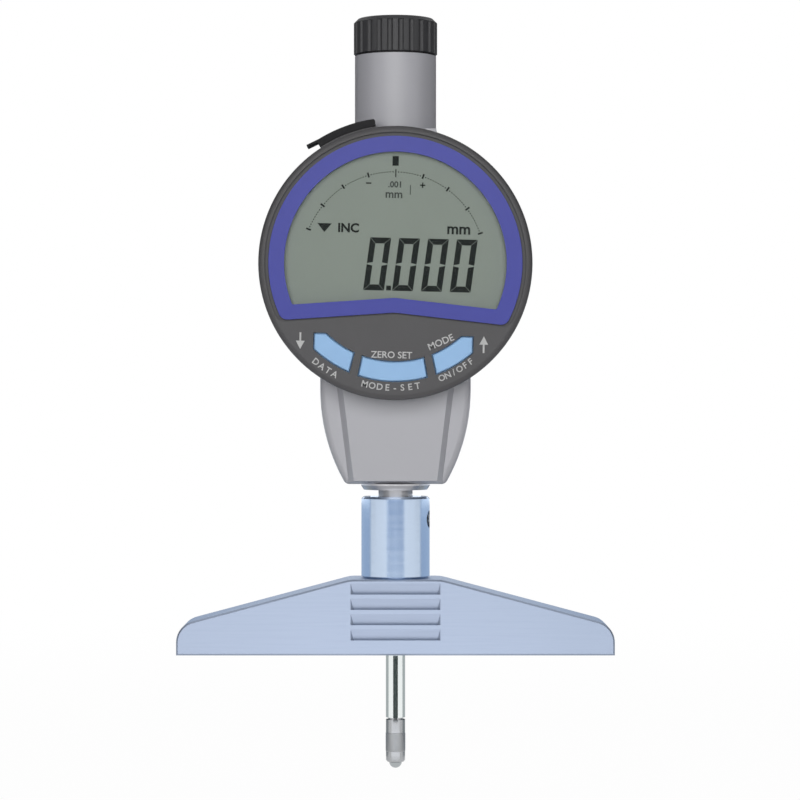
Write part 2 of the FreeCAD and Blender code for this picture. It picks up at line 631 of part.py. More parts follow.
def make_case_casting():
    body = rod_y(CASE_RADIUS, CASE_FRONT_Y, CASE_BACK_Y)
    body = body.makeChamfer(CASE_EDGE, [e for e in body.Edges if len(e.Vertexes) == 1])
    tube = rod_z(TUBE_DIAMETER / 2, HEAD_AXIS_Z, TUBE_TOP_Z)
    upper = [placed_on_head_axis(body), placed_on_head_axis(make_neck()), tube]
    outside = upper + [make_fairing(), make_raised_panel()]
    casting = fused(outside)
    cavity = rod_y(CAVITY_RADIUS, WALL_BACK_Y, CASE_BACK_Y + OVERSHOOT)
    cover_seat = rod_y(COVER_RADIUS + COVER_CLEARANCE, CASE_BACK_Y, TUBE_DIAMETER)
    casting = casting.cut([placed_on_head_axis(cavity), placed_on_head_axis(cover_seat)])
    boss_length = (WALL_BACK_Y - CASE_WALL / 2, CASE_BACK_Y)
    bosses = [placed_on_head_axis(rod_y(BOSS_RADIUS, *boss_length, p.x, p.z)) for p in cover_screw_spots()]
    casting = fused([casting] + bosses)
    tube_foot_z = HEAD_AXIS_Z + math.sqrt(CAVITY_RADIUS ** 2 - (TUBE_BORE / 2) ** 2) - OVERSHOOT
    cutters = [
        rod_z(TUBE_BORE / 2, tube_foot_z, TUBE_TOP_Z + OVERSHOOT),
        rod_z(SHANK_DIAMETER / 2, FAIRING_BOTTOM_Z - OVERSHOOT, SHANK_TOP_Z),
        rod_z(UPPER_BUSH_DIAMETER / 2, SHANK_TOP_Z - OVERSHOOT, HEAD_AXIS_Z),
        guide_rod_shape(),
        placed_on_head_axis(
            rod_y(HUB_RADIUS + HUB_CLEARANCE, CASE_FRONT_Y - OVERSHOOT, WALL_BACK_Y + OVERSHOOT)),
    ]
    screw_front = COVER_BACK_Y - COVER_SCREW_LENGTH - COVER_SCREW_HEAD_HEIGHT
    for spot in cover_screw_spots():
        hole = rod_y(SCREW_DIAMETER / 2, screw_front, CASE_BACK_Y + OVERSHOOT, spot.x, spot.z)
        cutters.append(placed_on_head_axis(hole))
    return casting.cut(cutters)


def guide_rod_shape():
    reach = math.sqrt(CAVITY_RADIUS ** 2 - ROD_X ** 2) + ROD_SEAT
    return rod_z(ROD_DIAMETER / 2, HEAD_AXIS_Z - reach, HEAD_AXIS_Z + reach, ROD_X)


def make_scale_carrier():
    top = CARRIER_BOTTOM_Z + CARRIER_HEIGHT
    block = box(CARRIER_LEFT_X, CARRIER_RIGHT, -CARRIER_DEPTH / 2, CARRIER_DEPTH / 2,
                CARRIER_BOTTOM_Z, top)
    upright = [e for e in block.Edges if e.BoundBox.ZLength > CARRIER_HEIGHT / 2]
    block = block.makeFillet(CARRIER_CORNER, upright)
    block = block.cut(rod_z(SPINDLE_RADIUS, CARRIER_BOTTOM_Z - OVERSHOOT, top + OVERSHOOT))
    rod_hole = ROD_DIAMETER / 2 + ROD_CLEARANCE
    return block.cut(rod_z(rod_hole, CARRIER_BOTTOM_Z - OVERSHOOT, top + OVERSHOOT, ROD_X))


def make_encoder_scale():
    return box(-SCALE_WIDTH / 2, SCALE_WIDTH / 2, CARRIER_BACK_Y, SCALE_BACK_Y,
               SCALE_BOTTOM_Z, SCALE_BOTTOM_Z + SCALE_LENGTH)


def make_return_spring():
    reach = math.sqrt(CAVITY_RADIUS ** 2 - (SPRING_X - SPRING_COIL_RADIUS) ** 2)
    bottom = HEAD_AXIS_Z - reach + SPRING_SEAT_GAP + SPRING_WIRE
    height = CARRIER_BOTTOM_Z - SPRING_SEAT_GAP - SPRING_WIRE / 2 - bottom
    path = Part.Wire(Part.makeHelix(height / SPRING_TURNS, height, SPRING_COIL_RADIUS).Edges)
    inner, outer = SPRING_COIL_RADIUS - SPRING_WIRE / 2, SPRING_OUTER_RADIUS
    low, high = -SPRING_WIRE / 2, SPRING_WIRE / 2
    section = Part.makePolygon([Vector(inner, 0, low), Vector(outer, 0, low), Vector(outer, 0, high),
                                Vector(inner, 0, high), Vector(inner, 0, low)])
    spring = path.makePipeShell([section], True, True)
    spring.translate(Vector(SPRING_X, 0, bottom))
    return spring


def make_sensor_board():
    half_width, half_length = SENSOR_BOARD_WIDTH / 2, SENSOR_BOARD_LENGTH / 2
    return placed_on_head_axis(box(SENSOR_BOARD_X - half_width, SENSOR_BOARD_X + half_width,
                                   SENSOR_FRONT_Y, SENSOR_BACK_Y, -half_length, half_length))


def make_back_cover():
    plate = rod_y(COVER_RADIUS, CASE_BACK_Y, COVER_BACK_Y)
    rim = [e for e in plate.Edges if len(e.Vertexes) == 1 and e.BoundBox.YMin > CASE_BACK_Y]
    plate = plate.makeChamfer(COVER_EDGE, rim)
    inside_y = CELL_FRONT_Y - CELL_GAP / 2
    well = rod_y(CELL_WELL_RADIUS + CELL_WELL_WALL, inside_y - CELL_WELL_FLOOR,
                 CASE_BACK_Y + CELL_WELL_FLOOR, CELL_X, CELL_DZ)
    posts = [rod_y(SENSOR_POST_RADIUS, SENSOR_BACK_Y, CASE_BACK_Y + CELL_WELL_FLOOR, SENSOR_BOARD_X, z)
             for z in (-SENSOR_POST_SPREAD, SENSOR_POST_SPREAD)]
    cover = fused([plate, well] + posts)
    cover = cover.cut(rod_y(CELL_WELL_RADIUS, inside_y, COVER_BACK_Y + OVERSHOOT, CELL_X, CELL_DZ))
    seat = CELL_CAP_DIAMETER / 2 + CELL_CAP_CLEARANCE
    cover = cover.cut(rod_y(seat, CAP_FLANGE_FRONT_Y, COVER_BACK_Y + OVERSHOOT, CELL_X, CELL_DZ))
    for spot in cover_screw_spots():
        hole = rod_y(SCREW_DIAMETER / 2, CASE_BACK_Y - OVERSHOOT, COVER_BACK_Y + OVERSHOOT, spot.x, spot.z)
        head = rod_y(COVER_SCREW_HEAD_DIAMETER / 2, COVER_BACK_Y - COVER_SCREW_HEAD_HEIGHT,
                     COVER_BACK_Y + OVERSHOOT, spot.x, spot.z)
        cover = cover.cut([hole, head])
    return placed_on_head_axis(cover)


def make_cover_screws():
    screws = []
    for spot in cover_screw_spots():
        head = rod_y(COVER_SCREW_HEAD_DIAMETER / 2, COVER_BACK_Y - COVER_SCREW_HEAD_HEIGHT, COVER_BACK_Y,
                     spot.x, spot.z)
        shank = rod_y(SCREW_DIAMETER / 2, COVER_BACK_Y - COVER_SCREW_HEAD_HEIGHT - COVER_SCREW_LENGTH,
                      COVER_BACK_Y - COVER_SCREW_HEAD_HEIGHT, spot.x, spot.z)
        screws.append(placed_on_head_axis(fused([head, shank])))
    return Part.makeCompound(screws)


def make_cell():
    return placed_on_head_axis(rod_y(CELL_DIAMETER / 2, CELL_FRONT_Y, CELL_BACK_Y, CELL_X, CELL_DZ))


def make_cell_cap():
    flange = rod_y(CELL_CAP_DIAMETER / 2, CAP_FLANGE_FRONT_Y, COVER_BACK_Y, CELL_X, CELL_DZ)
    neck = rod_y(CELL_WELL_RADIUS - CELL_CAP_CLEARANCE, CAP_NECK_FRONT_Y, CAP_FLANGE_FRONT_Y,
                 CELL_X, CELL_DZ)
    slot = box(CELL_X - COIN_SLOT_LENGTH / 2, CELL_X + COIN_SLOT_LENGTH / 2,
               COVER_BACK_Y - COIN_SLOT_DEPTH, COVER_BACK_Y + OVERSHOOT,
               CELL_DZ - COIN_SLOT_WIDTH / 2, CELL_DZ + COIN_SLOT_WIDTH / 2)
    return placed_on_head_axis(fused([flange, neck]).cut(slot))


def make_top_cap():
    outer = CAP_DIAMETER / 2
    plug = TUBE_BORE / 2 - CAP_PLUG_CLEARANCE
    hollow = CAP_HOLLOW_DIAMETER / 2
    top = CAP_BOTTOM_Z + CAP_HEIGHT
    cap = turned_z([
        (hollow, PLUG_BOTTOM_Z), (plug, PLUG_BOTTOM_Z), (plug, CAP_BOTTOM_Z), (outer, CAP_BOTTOM_Z),
        (outer, top - CAP_CHAMFER), (outer - CAP_CHAMFER, top), (0, top),
        (0, top - CAP_TOP_THICKNESS), (hollow, top - CAP_TOP_THICKNESS),
    ])
    centre = outer + CAP_GROOVE_RADIUS - CAP_GROOVE_DEPTH
    grooves = []
    for rib in range(CAP_RIBS):
        angle = 2 * math.pi * (rib + 0.5) / CAP_RIBS
        grooves.append(rod_z(CAP_GROOVE_RADIUS, CAP_BOTTOM_Z - OVERSHOOT, top - CAP_CHAMFER,
                             centre * math.cos(angle), centre * math.sin(angle)))
    return cap.cut(grooves)


def make_cap_seal():
    outer = TUBE_BORE / 2 + SEAL_WIDTH
    return rod_z(outer, TUBE_TOP_Z, CAP_BOTTOM_Z).cut(rod_z(TUBE_BORE / 2, TUBE_TOP_Z, CAP_BOTTOM_Z))


def port_box(width, height, inner, outer):
    """A block across the data port, from one distance off the head's axis to another."""
    block = box(-width / 2, width / 2, PORT_Y - height / 2, PORT_Y + height / 2, inner, outer)
    block.rotate(Vector(0, 0, 0), Y_AXIS, -PORT_ANGLE)
    return block


def board_post_spots():
    """Where the display board is screwed down, on the head's own axes."""
    return [(x, z) for x in (-BOARD_POST_X, BOARD_POST_X) for z in (-BOARD_POST_Z, BOARD_POST_Z)]


def retainer_screw_spots():
    """Where the retainer is screwed to the hub, on the head's own axes."""
    return [on_circle(RETAINER_SCREW_CIRCLE, 90 + 360 / RETAINER_SCREWS * n) for n in range(RETAINER_SCREWS)]


def make_head_case():
    outer = HEAD_RADIUS
    inner = HEAD_INNER_RADIUS
    case = turned_y([
        (HUB_BORE_RADIUS, HUB_END_Y), (HUB_RADIUS, HUB_END_Y), (HUB_RADIUS, HEAD_BACK_Y),
        (outer - HEAD_EDGE, HEAD_BACK_Y), (outer, HEAD_BACK_Y - HEAD_EDGE), (outer, BEZEL_BACK_Y),
        (inner, BEZEL_BACK_Y), (inner, HEAD_FLOOR_Y), (HUB_BORE_RADIUS, HEAD_FLOOR_Y),
    ])
    posts = [rod_y(BOARD_POST_RADIUS, BOARD_BACK_Y, HEAD_FLOOR_Y + HEAD_WALL / 2, x, z)
             for x, z in board_post_spots()]
    pad = plate_y(arc_band(outer - HEAD_WALL / 2, PORT_PAD_RADIUS, FLAP_HINGE_ANGLE, FLAP_END_ANGLE),
                  FLAP_FRONT_Y, FLAP_BACK_Y)
    case = fused([case, pad] + posts)
    case = case.cut(port_box(PORT_WIDTH, PORT_HEIGHT, inner - OVERSHOOT, outer + OVERSHOOT))
    for x, z in board_post_spots():
        case = case.cut(rod_y(SCREW_DIAMETER / 2, BOARD_BACK_Y - OVERSHOOT, HEAD_FLOOR_Y, x, z))
    for spot in retainer_screw_spots():
        case = case.cut(rod_y(SCREW_DIAMETER / 2, HEAD_BACK_Y, HUB_END_Y + OVERSHOOT, spot.x, spot.z))
    return placed_in_head(case)


def display_plate(radius, drop, corner, y0, y1):
    """A plate with a round top and a shallow peaked lower edge."""
    slope = DISPLAY_SLOPE
    span = 1 + slope ** 2
    x = (-drop * slope + math.sqrt(radius ** 2 * span - drop ** 2)) / span
    right = Vector(x, 0, -drop - slope * x)
    left = Vector(-x, 0, right.z)
    peak = Vector(0, 0, -drop)
    wire = Part.Wire([
        Part.Arc(left, Vector(0, 0, radius), right).toShape(),
        Part.makeLine(right, peak), Part.makeLine(peak, left),
    ])
    plate = plate_y(wire, y0, y1)
    corners = [e for e in plate.Edges if is_along_y(e) and is_at(e, x, right.z)]
    plate = plate.makeFillet(corner, corners)
    peaks = [e for e in plate.Edges if is_along_y(e) and is_at(e, 0, -drop)]
    return plate.makeFillet(PEAK_ROUND, peaks)


def centre_key_wire():
    """The middle key's outline, a stretch of the key band."""
    inner_z = -math.sqrt(KEY_BAND_INNER ** 2 - CENTRE_KEY_INNER_HALF ** 2)
    outer_z = -math.sqrt(KEY_BAND_OUTER ** 2 - CENTRE_KEY_OUTER_HALF ** 2)
    inner = [Vector(-CENTRE_KEY_INNER_HALF, 0, inner_z), Vector(CENTRE_KEY_INNER_HALF, 0, inner_z)]
    outer = [Vector(-CENTRE_KEY_OUTER_HALF, 0, outer_z), Vector(CENTRE_KEY_OUTER_HALF, 0, outer_z)]
    return Part.Wire([
        Part.Arc(inner[0], Vector(0, 0, -KEY_BAND_INNER), inner[1]).toShape(),
        Part.makeLine(inner[1], outer[1]),
        Part.Arc(outer[1], Vector(0, 0, -KEY_BAND_OUTER), outer[0]).toShape(),
        Part.makeLine(outer[0], inner[0]),
    ])


def side_key_wire(side):
    """An outer key's outline: the key band cut by an upright line and a level line."""
    top_z = -SIDE_KEY_TOP_DROP
    edge_x = SIDE_KEY_EDGE_X
    start = Vector(SIDE_KEY_INNER_X, 0, -math.sqrt(KEY_BAND_INNER ** 2 - SIDE_KEY_INNER_X ** 2))
    shoulder = Vector(math.sqrt(KEY_BAND_INNER ** 2 - top_z ** 2), 0, top_z)
    corner = Vector(edge_x, 0, top_z)
    low = Vector(edge_x, 0, -math.sqrt(KEY_BAND_OUTER ** 2 - edge_x ** 2))
    end = Vector(SIDE_KEY_OUTER_X, 0, -math.sqrt(KEY_BAND_OUTER ** 2 - SIDE_KEY_OUTER_X ** 2))
    inner_middle = start + shoulder
    inner_middle.multiply(KEY_BAND_INNER / inner_middle.Length)
    outer_middle = low + end
    outer_middle.multiply(KEY_BAND_OUTER / outer_middle.Length)
    wire = Part.Wire([
        Part.Arc(start, inner_middle, shoulder).toShape(), Part.makeLine(shoulder, corner),
        Part.makeLine(corner, low), Part.Arc(low, outer_middle, end).toShape(), Part.makeLine(end, start),
    ])
    if side < 0:
        wire = wire.mirror(Vector(0, 0, 0), Vector(1, 0, 0))
    return wire


def key_middle(side):
    """The point under a key where its plunger stands."""
    radius = (KEY_BAND_INNER + KEY_BAND_OUTER) / 2
    x = side * (SIDE_KEY_OUTER_X + SIDE_KEY_EDGE_X) / 2
    return Vector(x, 0, -math.sqrt(radius ** 2 - x ** 2))


def key_wire(side):
    """A key's outline: side -1 is the left key, 0 the middle one and 1 the right one."""
    return side_key_wire(side) if side else centre_key_wire()


def make_key(side):
    wire = key_wire(side)
    cap = plate_y(wire, KEY_FRONT_Y, KEY_FLANGE_FRONT_Y)
    rim = [e for e in cap.Edges if e.BoundBox.YMax < KEY_FRONT_Y + 1e-3]
    cap = cap.makeChamfer(KEY_EDGE, rim)
    flange = plate_y(wire.makeOffset2D(KEY_FLANGE, 2), KEY_FLANGE_FRONT_Y, KEY_FLANGE_BACK_Y)
    spot = key_middle(side)
    plunger = rod_y(KEY_PLUNGER_RADIUS, KEY_FLANGE_BACK_Y, KEY_PLUNGER_BACK_Y, spot.x, spot.z)
    return placed_in_head(fused([cap, flange, plunger]))


def make_bezel():
    bezel = rod_y(HEAD_RADIUS, HEAD_FRONT_Y, BEZEL_BACK_Y)
    rim = [e for e in bezel.Edges if len(e.Vertexes) == 1 and e.BoundBox.YMax < BEZEL_BACK_Y]
    bezel = bezel.makeFillet(BEZEL_ROUND, rim)
    front_y = HEAD_FRONT_Y - OVERSHOOT
    step = display_plate(FRAME_RADIUS + BEZEL_STEP_WIDTH, FRAME_DROP + BEZEL_STEP_FOOT,
                         FRAME_CORNER + BEZEL_STEP_FOOT, front_y, HEAD_FRONT_Y + BEZEL_STEP_DEPTH)
    seat = display_plate(FRAME_RADIUS + FRAME_CLEARANCE, FRAME_DROP + FRAME_CLEARANCE, FRAME_CORNER,
                         front_y, FRAME_BACK_Y)
    ledge = WINDOW_FLANGE + FRAME_CLEARANCE
    opening = display_plate(WINDOW_RADIUS + ledge, WINDOW_DROP + ledge, WINDOW_CORNER + ledge,
                            HEAD_FRONT_Y, BEZEL_BACK_Y + OVERSHOOT)
    holes = [plate_y(key_wire(side).makeOffset2D(KEY_GAP, 2), front_y, BEZEL_BACK_Y + OVERSHOOT)
             for side in (-1, 0, 1)]
    return placed_in_head(bezel.cut([step, seat, opening] + holes))


def make_display_frame():
    frame = display_plate(FRAME_RADIUS, FRAME_DROP, FRAME_CORNER, FRAME_FRONT_Y, FRAME_BACK_Y)
    opening = display_plate(WINDOW_RADIUS + FRAME_CLEARANCE, WINDOW_DROP + FRAME_CLEARANCE,
                            WINDOW_CORNER, FRAME_FRONT_Y - OVERSHOOT, FRAME_BACK_Y + OVERSHOOT)
    return placed_in_head(frame.cut(opening))


def make_window():
    window = display_plate(WINDOW_RADIUS, WINDOW_DROP, WINDOW_CORNER, WINDOW_FRONT_Y, FRAME_BACK_Y)
    flange = display_plate(WINDOW_RADIUS + WINDOW_FLANGE, WINDOW_DROP + WINDOW_FLANGE,
                           WINDOW_CORNER + WINDOW_FLANGE, FRAME_BACK_Y, BEZEL_BACK_Y)
    return placed_in_head(fused([window, flange]))


def make_lcd_panel():
    margin = PANEL_GLASS_MARGIN
    return placed_in_head(display_plate(WINDOW_RADIUS + margin, WINDOW_DROP + margin, WINDOW_CORNER,
                                        GLASS_FRONT_Y, GLASS_BACK_Y))


def make_lcd_holder():
    pocket = PANEL_GLASS_MARGIN + FRAME_CLEARANCE
    rim = pocket + HOLDER_WALL
    holder = display_plate(WINDOW_RADIUS + rim, WINDOW_DROP + rim, WINDOW_CORNER + rim,
                           GLASS_FRONT_Y, HOLDER_BACK_Y)
    holder = holder.cut(display_plate(WINDOW_RADIUS + pocket, WINDOW_DROP + pocket, WINDOW_CORNER,
                                      GLASS_FRONT_Y - OVERSHOOT, GLASS_BACK_Y))
    legs = [rod_y(HOLDER_LEG_RADIUS, HOLDER_BACK_Y, BOARD_FRONT_Y, side * HOLDER_LEG_X, z)
            for side in (-1, 1) for z in HOLDER_LEG_Z]
    return placed_in_head(fused([holder] + legs))


def make_main_board():
    board = rod_y(BOARD_RADIUS, BOARD_FRONT_Y, BOARD_BACK_Y)
    holes = [rod_y(SCREW_DIAMETER / 2, BOARD_FRONT_Y - OVERSHOOT, BOARD_BACK_Y + OVERSHOOT, x, z)
             for x, z in board_post_spots()]
    notch = port_box(PORT_WIDTH, PORT_HEIGHT + OVERSHOOT, HEAD_INNER_RADIUS - SOCKET_DEPTH - FLAP_GAP,
                     HEAD_RADIUS)
    return placed_in_head(board.cut(holes + [notch]))


def small_screw(x, z, head_y, toward, length):
    """A small screw along Y: its head stands on head_y and its shank goes the other way."""
    ends = sorted([head_y, head_y + toward * SMALL_HEAD_HEIGHT])
    head = rod_y(SMALL_HEAD_DIAMETER / 2, *ends, x, z)
    shank_ends = sorted([head_y, head_y - toward * length])
    return fused([head, rod_y(SCREW_DIAMETER / 2, *shank_ends, x, z)])


def make_board_screws():
    length = HEAD_FLOOR_Y - BOARD_FRONT_Y
    return placed_in_head(Part.makeCompound(
        [small_screw(x, z, BOARD_FRONT_Y, -1, length) for x, z in board_post_spots()]))


def make_key_mat():
    front, back = MAT_FRONT_Y, BOARD_FRONT_Y
    sheet = rod_y(MAT_EDGE_RADIUS, front, back).common(
        box(-MAT_EDGE_RADIUS, MAT_EDGE_RADIUS, front, back, -MAT_EDGE_RADIUS, -MAT_TOP_DROP))
    domes = [Part.makeCone(MAT_DOME_RADIUS, KEY_PLUNGER_RADIUS, front - DOME_FRONT_Y,
                           Vector(spot.x, front, spot.z), Vector(0, -1, 0))
             for spot in (key_middle(side) for side in (-1, 0, 1))]
    return placed_in_head(fused([sheet] + domes))


def make_head_retainer():
    ring = ring_y(RETAINER_RADIUS, HUB_BORE_RADIUS, HUB_END_Y, RETAINER_BACK_Y)
    holes = [rod_y(SCREW_DIAMETER / 2, HUB_END_Y - OVERSHOOT, RETAINER_BACK_Y + OVERSHOOT, p.x, p.z)
             for p in retainer_screw_spots()]
    return placed_in_head(ring.cut(holes))


def make_retainer_screws():
    length = RETAINER_BACK_Y - HEAD_BACK_Y
    return placed_in_head(Part.makeCompound(
        [small_screw(p.x, p.z, RETAINER_BACK_Y, 1, length) for p in retainer_screw_spots()]))


def make_friction_washer():
    inner = HUB_RADIUS + HUB_CLEARANCE
    return placed_in_head(
        ring_y(inner + WASHER_WIDTH, inner, WASHER_FRONT_Y, WASHER_FRONT_Y + WASHER_THICKNESS))


def make_data_socket():
    outer = HEAD_INNER_RADIUS - FLAP_GAP
    socket = port_box(PORT_WIDTH - FLAP_GAP, PORT_HEIGHT, outer - SOCKET_DEPTH, outer)
    socket = socket.common(rod_y(HEAD_INNER_RADIUS, PORT_FRONT_Y, PORT_BACK_Y))
    cavity = port_box(SOCKET_CAVITY_WIDTH, SOCKET_CAVITY_HEIGHT, outer - SOCKET_CAVITY_DEPTH,
                      outer + OVERSHOOT)
    return placed_in_head(socket.cut(cavity))


def arc_band(inner, outer, first, last):
    """A ring's stretch in the XZ plane, by angles from +Z towards -X, as a closed wire."""
    low, high = 90 + first, 90 + last
    middle = (low + high) / 2
    return Part.Wire([
        Part.Arc(on_circle(inner, low), on_circle(inner, middle), on_circle(inner, high)).toShape(),
        Part.makeLine(on_circle(inner, high), on_circle(outer, high)),
        Part.Arc(on_circle(outer, high), on_circle(outer, middle), on_circle(outer, low)).toShape(),
        Part.makeLine(on_circle(outer, low), on_circle(inner, low)),
    ])


def make_port_cover():
    strip = plate_y(arc_band(FLAP_INNER_RADIUS, FLAP_OUTER_RADIUS, FLAP_HINGE_ANGLE, FLAP_END_ANGLE),
                    FLAP_FRONT_Y, FLAP_BACK_Y)
    for radius, rounding in ((FLAP_INNER_RADIUS, FLAP_THICKNESS / 2), (FLAP_OUTER_RADIUS, FLAP_CORNER)):
        corner = on_circle(radius, 90 + FLAP_HINGE_ANGLE)
        edges = [e for e in strip.Edges if is_along_y(e) and is_at(e, -corner.x, corner.z)]
        strip = strip.makeFillet(rounding, edges)
    start, end = 90 + FLAP_END_ANGLE - 1, 90 + FLAP_END_ANGLE + FLAP_LIP_ANGLE
    lip_outer = FLAP_OUTER_RADIUS + FLAP_LIP_RISE
    lip = plate_y(Part.makePolygon([
        on_circle(FLAP_OUTER_RADIUS - FLAP_LIP_THICKNESS, start), on_circle(FLAP_OUTER_RADIUS, start),
        on_circle(lip_outer, end), on_circle(lip_outer - FLAP_LIP_THICKNESS, end),
        on_circle(FLAP_OUTER_RADIUS - FLAP_LIP_THICKNESS, start),
    ]), FLAP_FRONT_Y, FLAP_BACK_Y)
    plug_width = PORT_WIDTH - 2 * FLAP_PLUG_CLEARANCE
    plug_height = PORT_HEIGHT - 2 * FLAP_PLUG_CLEARANCE
    plug = port_box(plug_width, plug_height, HEAD_RADIUS - FLAP_PLUG_DEPTH,
                    FLAP_OUTER_RADIUS - FLAP_THICKNESS / 2)
    return placed_in_head(fused([strip, lip, plug]))


NODES = {
    "base_bar": make_base_bar,
    "stem_sleeve": make_stem_sleeve,
    "clamp_screw": make_clamp_screw,
    "stem": make_stem,
    "lower_bush": lambda: make_bush(LOWER_BUSH_DIAMETER, STEM_BOTTOM_Z, STEM_BOTTOM_Z + LOWER_BUSH_LENGTH),
    "upper_bush": lambda: make_bush(UPPER_BUSH_DIAMETER, SHANK_TOP_Z, CAVITY_FLOOR_Z),
    "spindle": make_spindle,
    "contact_point": make_contact_point,
    "contact_ball": contact_ball,
    "case_casting": make_case_casting,
    "scale_carrier": make_scale_carrier,
    "encoder_scale": make_encoder_scale,
    "guide_rod": guide_rod_shape,
    "return_spring": make_return_spring,
    "sensor_board": make_sensor_board,
    "back_cover": make_back_cover,
    "cover_screws": make_cover_screws,
    "cell": make_cell,
    "cell_cap": make_cell_cap,
    "top_cap": make_top_cap,
    "cap_seal": make_cap_seal,
    "head_case": make_head_case,
    "head_retainer": make_head_retainer,
    "retainer_screws": make_retainer_screws,
    "friction_washer": make_friction_washer,
    "bezel": make_bezel,
    "display_frame": make_display_frame,
    "window": make_window,
    "lcd_panel": make_lcd_panel,
    "lcd_holder": make_lcd_holder,
    "main_board": make_main_board,
    "board_screws": make_board_screws,
    "key_mat": make_key_mat,
    "mode_key": lambda: make_key(-1),
    "zero_key": lambda: make_key(0),
    "power_key": lambda: make_key(1),
    "data_socket": make_data_socket,
    "port_cover": make_port_cover,
}

os.makedirs("parts", exist_ok=True)
for name, make in NODES.items():
    shape = make()
    print(name, shape.isValid(), len(shape.Solids), round(shape.Volume, 2))
    shape.exportStep(os.path.join("parts", name + ".step"))
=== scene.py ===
"""Dresses the digital depth gauge: finishes, display figures, lettering, knurl and studio.

Everything is in metres in the CAD model's own frame: the origin is the centre of the base's
measuring face, +X is to the reader's right, +Y is to the back and +Z is up. Sizes that a
craftsperson would state are held in millimetres and turned to metres by MM.
"""

import logging
import math
from dataclasses import dataclass, field
from enum import Enum
from typing import Any, Dict, List, Optional, Sequence, Tuple

import bpy
from mathutils import Matrix, Vector


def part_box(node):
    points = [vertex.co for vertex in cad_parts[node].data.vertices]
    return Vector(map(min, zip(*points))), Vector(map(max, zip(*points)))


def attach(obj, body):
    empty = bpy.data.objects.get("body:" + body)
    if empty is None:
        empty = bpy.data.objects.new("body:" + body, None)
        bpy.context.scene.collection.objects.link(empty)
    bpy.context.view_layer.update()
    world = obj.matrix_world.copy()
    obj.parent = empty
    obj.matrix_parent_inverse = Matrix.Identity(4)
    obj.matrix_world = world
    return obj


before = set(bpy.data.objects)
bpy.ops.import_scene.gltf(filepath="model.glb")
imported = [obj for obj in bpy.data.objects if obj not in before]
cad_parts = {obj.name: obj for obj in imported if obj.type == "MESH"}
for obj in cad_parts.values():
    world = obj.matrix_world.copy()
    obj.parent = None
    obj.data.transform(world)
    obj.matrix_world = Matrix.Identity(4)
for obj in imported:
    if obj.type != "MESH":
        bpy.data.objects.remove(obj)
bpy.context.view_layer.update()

MM = 0.001
LOG = logging.getLogger("depth_gauge")
Point2 = Tuple[float, float]
Triple = Tuple[float, float, float]

# The noise that draws grain and patches seldom leaves this range.
NOISE_LOW, NOISE_HIGH = 0.3, 0.7
GRAIN_OCTAVES, GRAIN_SOFTNESS, PATCH_OCTAVES = 3.0, 0.55, 2.0
SMOOTHEST = 0.02
# Lathe rings run 25 times as far round as they are wide, and grinding lines 33 times.
RING_SQUEEZE, LINE_SQUEEZE = 0.04, 0.03
# Blender's own font draws capitals this high for a text size of 1, and a curve of a letter in
# this many straight steps.
CAPITAL_SHARE, LETTER_STEPS = 0.73, 3


def linear(hex_colour: str) -> Tuple[float, float, float, float]:
    """Turn an sRGB hex colour to linear light.

    Args:
        hex_colour: Six hex digits with a leading hash, such as "#c8c8cc".

    Returns:
        Red, green, blue and an alpha of 1.
    """
    channels = []
    for start in (1, 3, 5):
        value = int(hex_colour[start:start + 2], 16) / 255
        channels.append(value / 12.92 if value <= 0.04045 else ((value + 0.055) / 1.055) ** 2.4)
    return channels[0], channels[1], channels[2], 1.0


def add_node(
    tree: bpy.types.NodeTree,
    kind: str,
    settings: Optional[Dict[str, Any]] = None,
    inputs: Optional[Dict[Any, Any]] = None,
) -> bpy.types.Node:
    """Add a node to a tree.

    Args:
        tree: The node tree.
        kind: The node's type name.
        settings: Attributes to set on the node.
        inputs: Socket name or index to a value, or to an output socket to link from.

    Returns:
        The new node.
    """
    node = tree.nodes.new(kind)
    for name, value in (settings or {}).items():
        setattr(node, name, value)
    for name, value in (inputs or {}).items():
        if isinstance(value, bpy.types.NodeSocket):
            tree.links.new(value, node.inputs[name])
        else:
            node.inputs[name].default_value = value
    return node


class Grain(Enum):
    """How a surface was made, which sets the pattern of its fine relief."""

    MOULDED = "spark-eroded mould texture, even in all directions"
    SPRAYED = "sprayed paint, a soft orange peel"
    TURNED = "turned on a lathe about Z, with fine rings"
    GROUND = "ground along X, with long fine lines"
    POLISHED = "polished, nearly smooth"


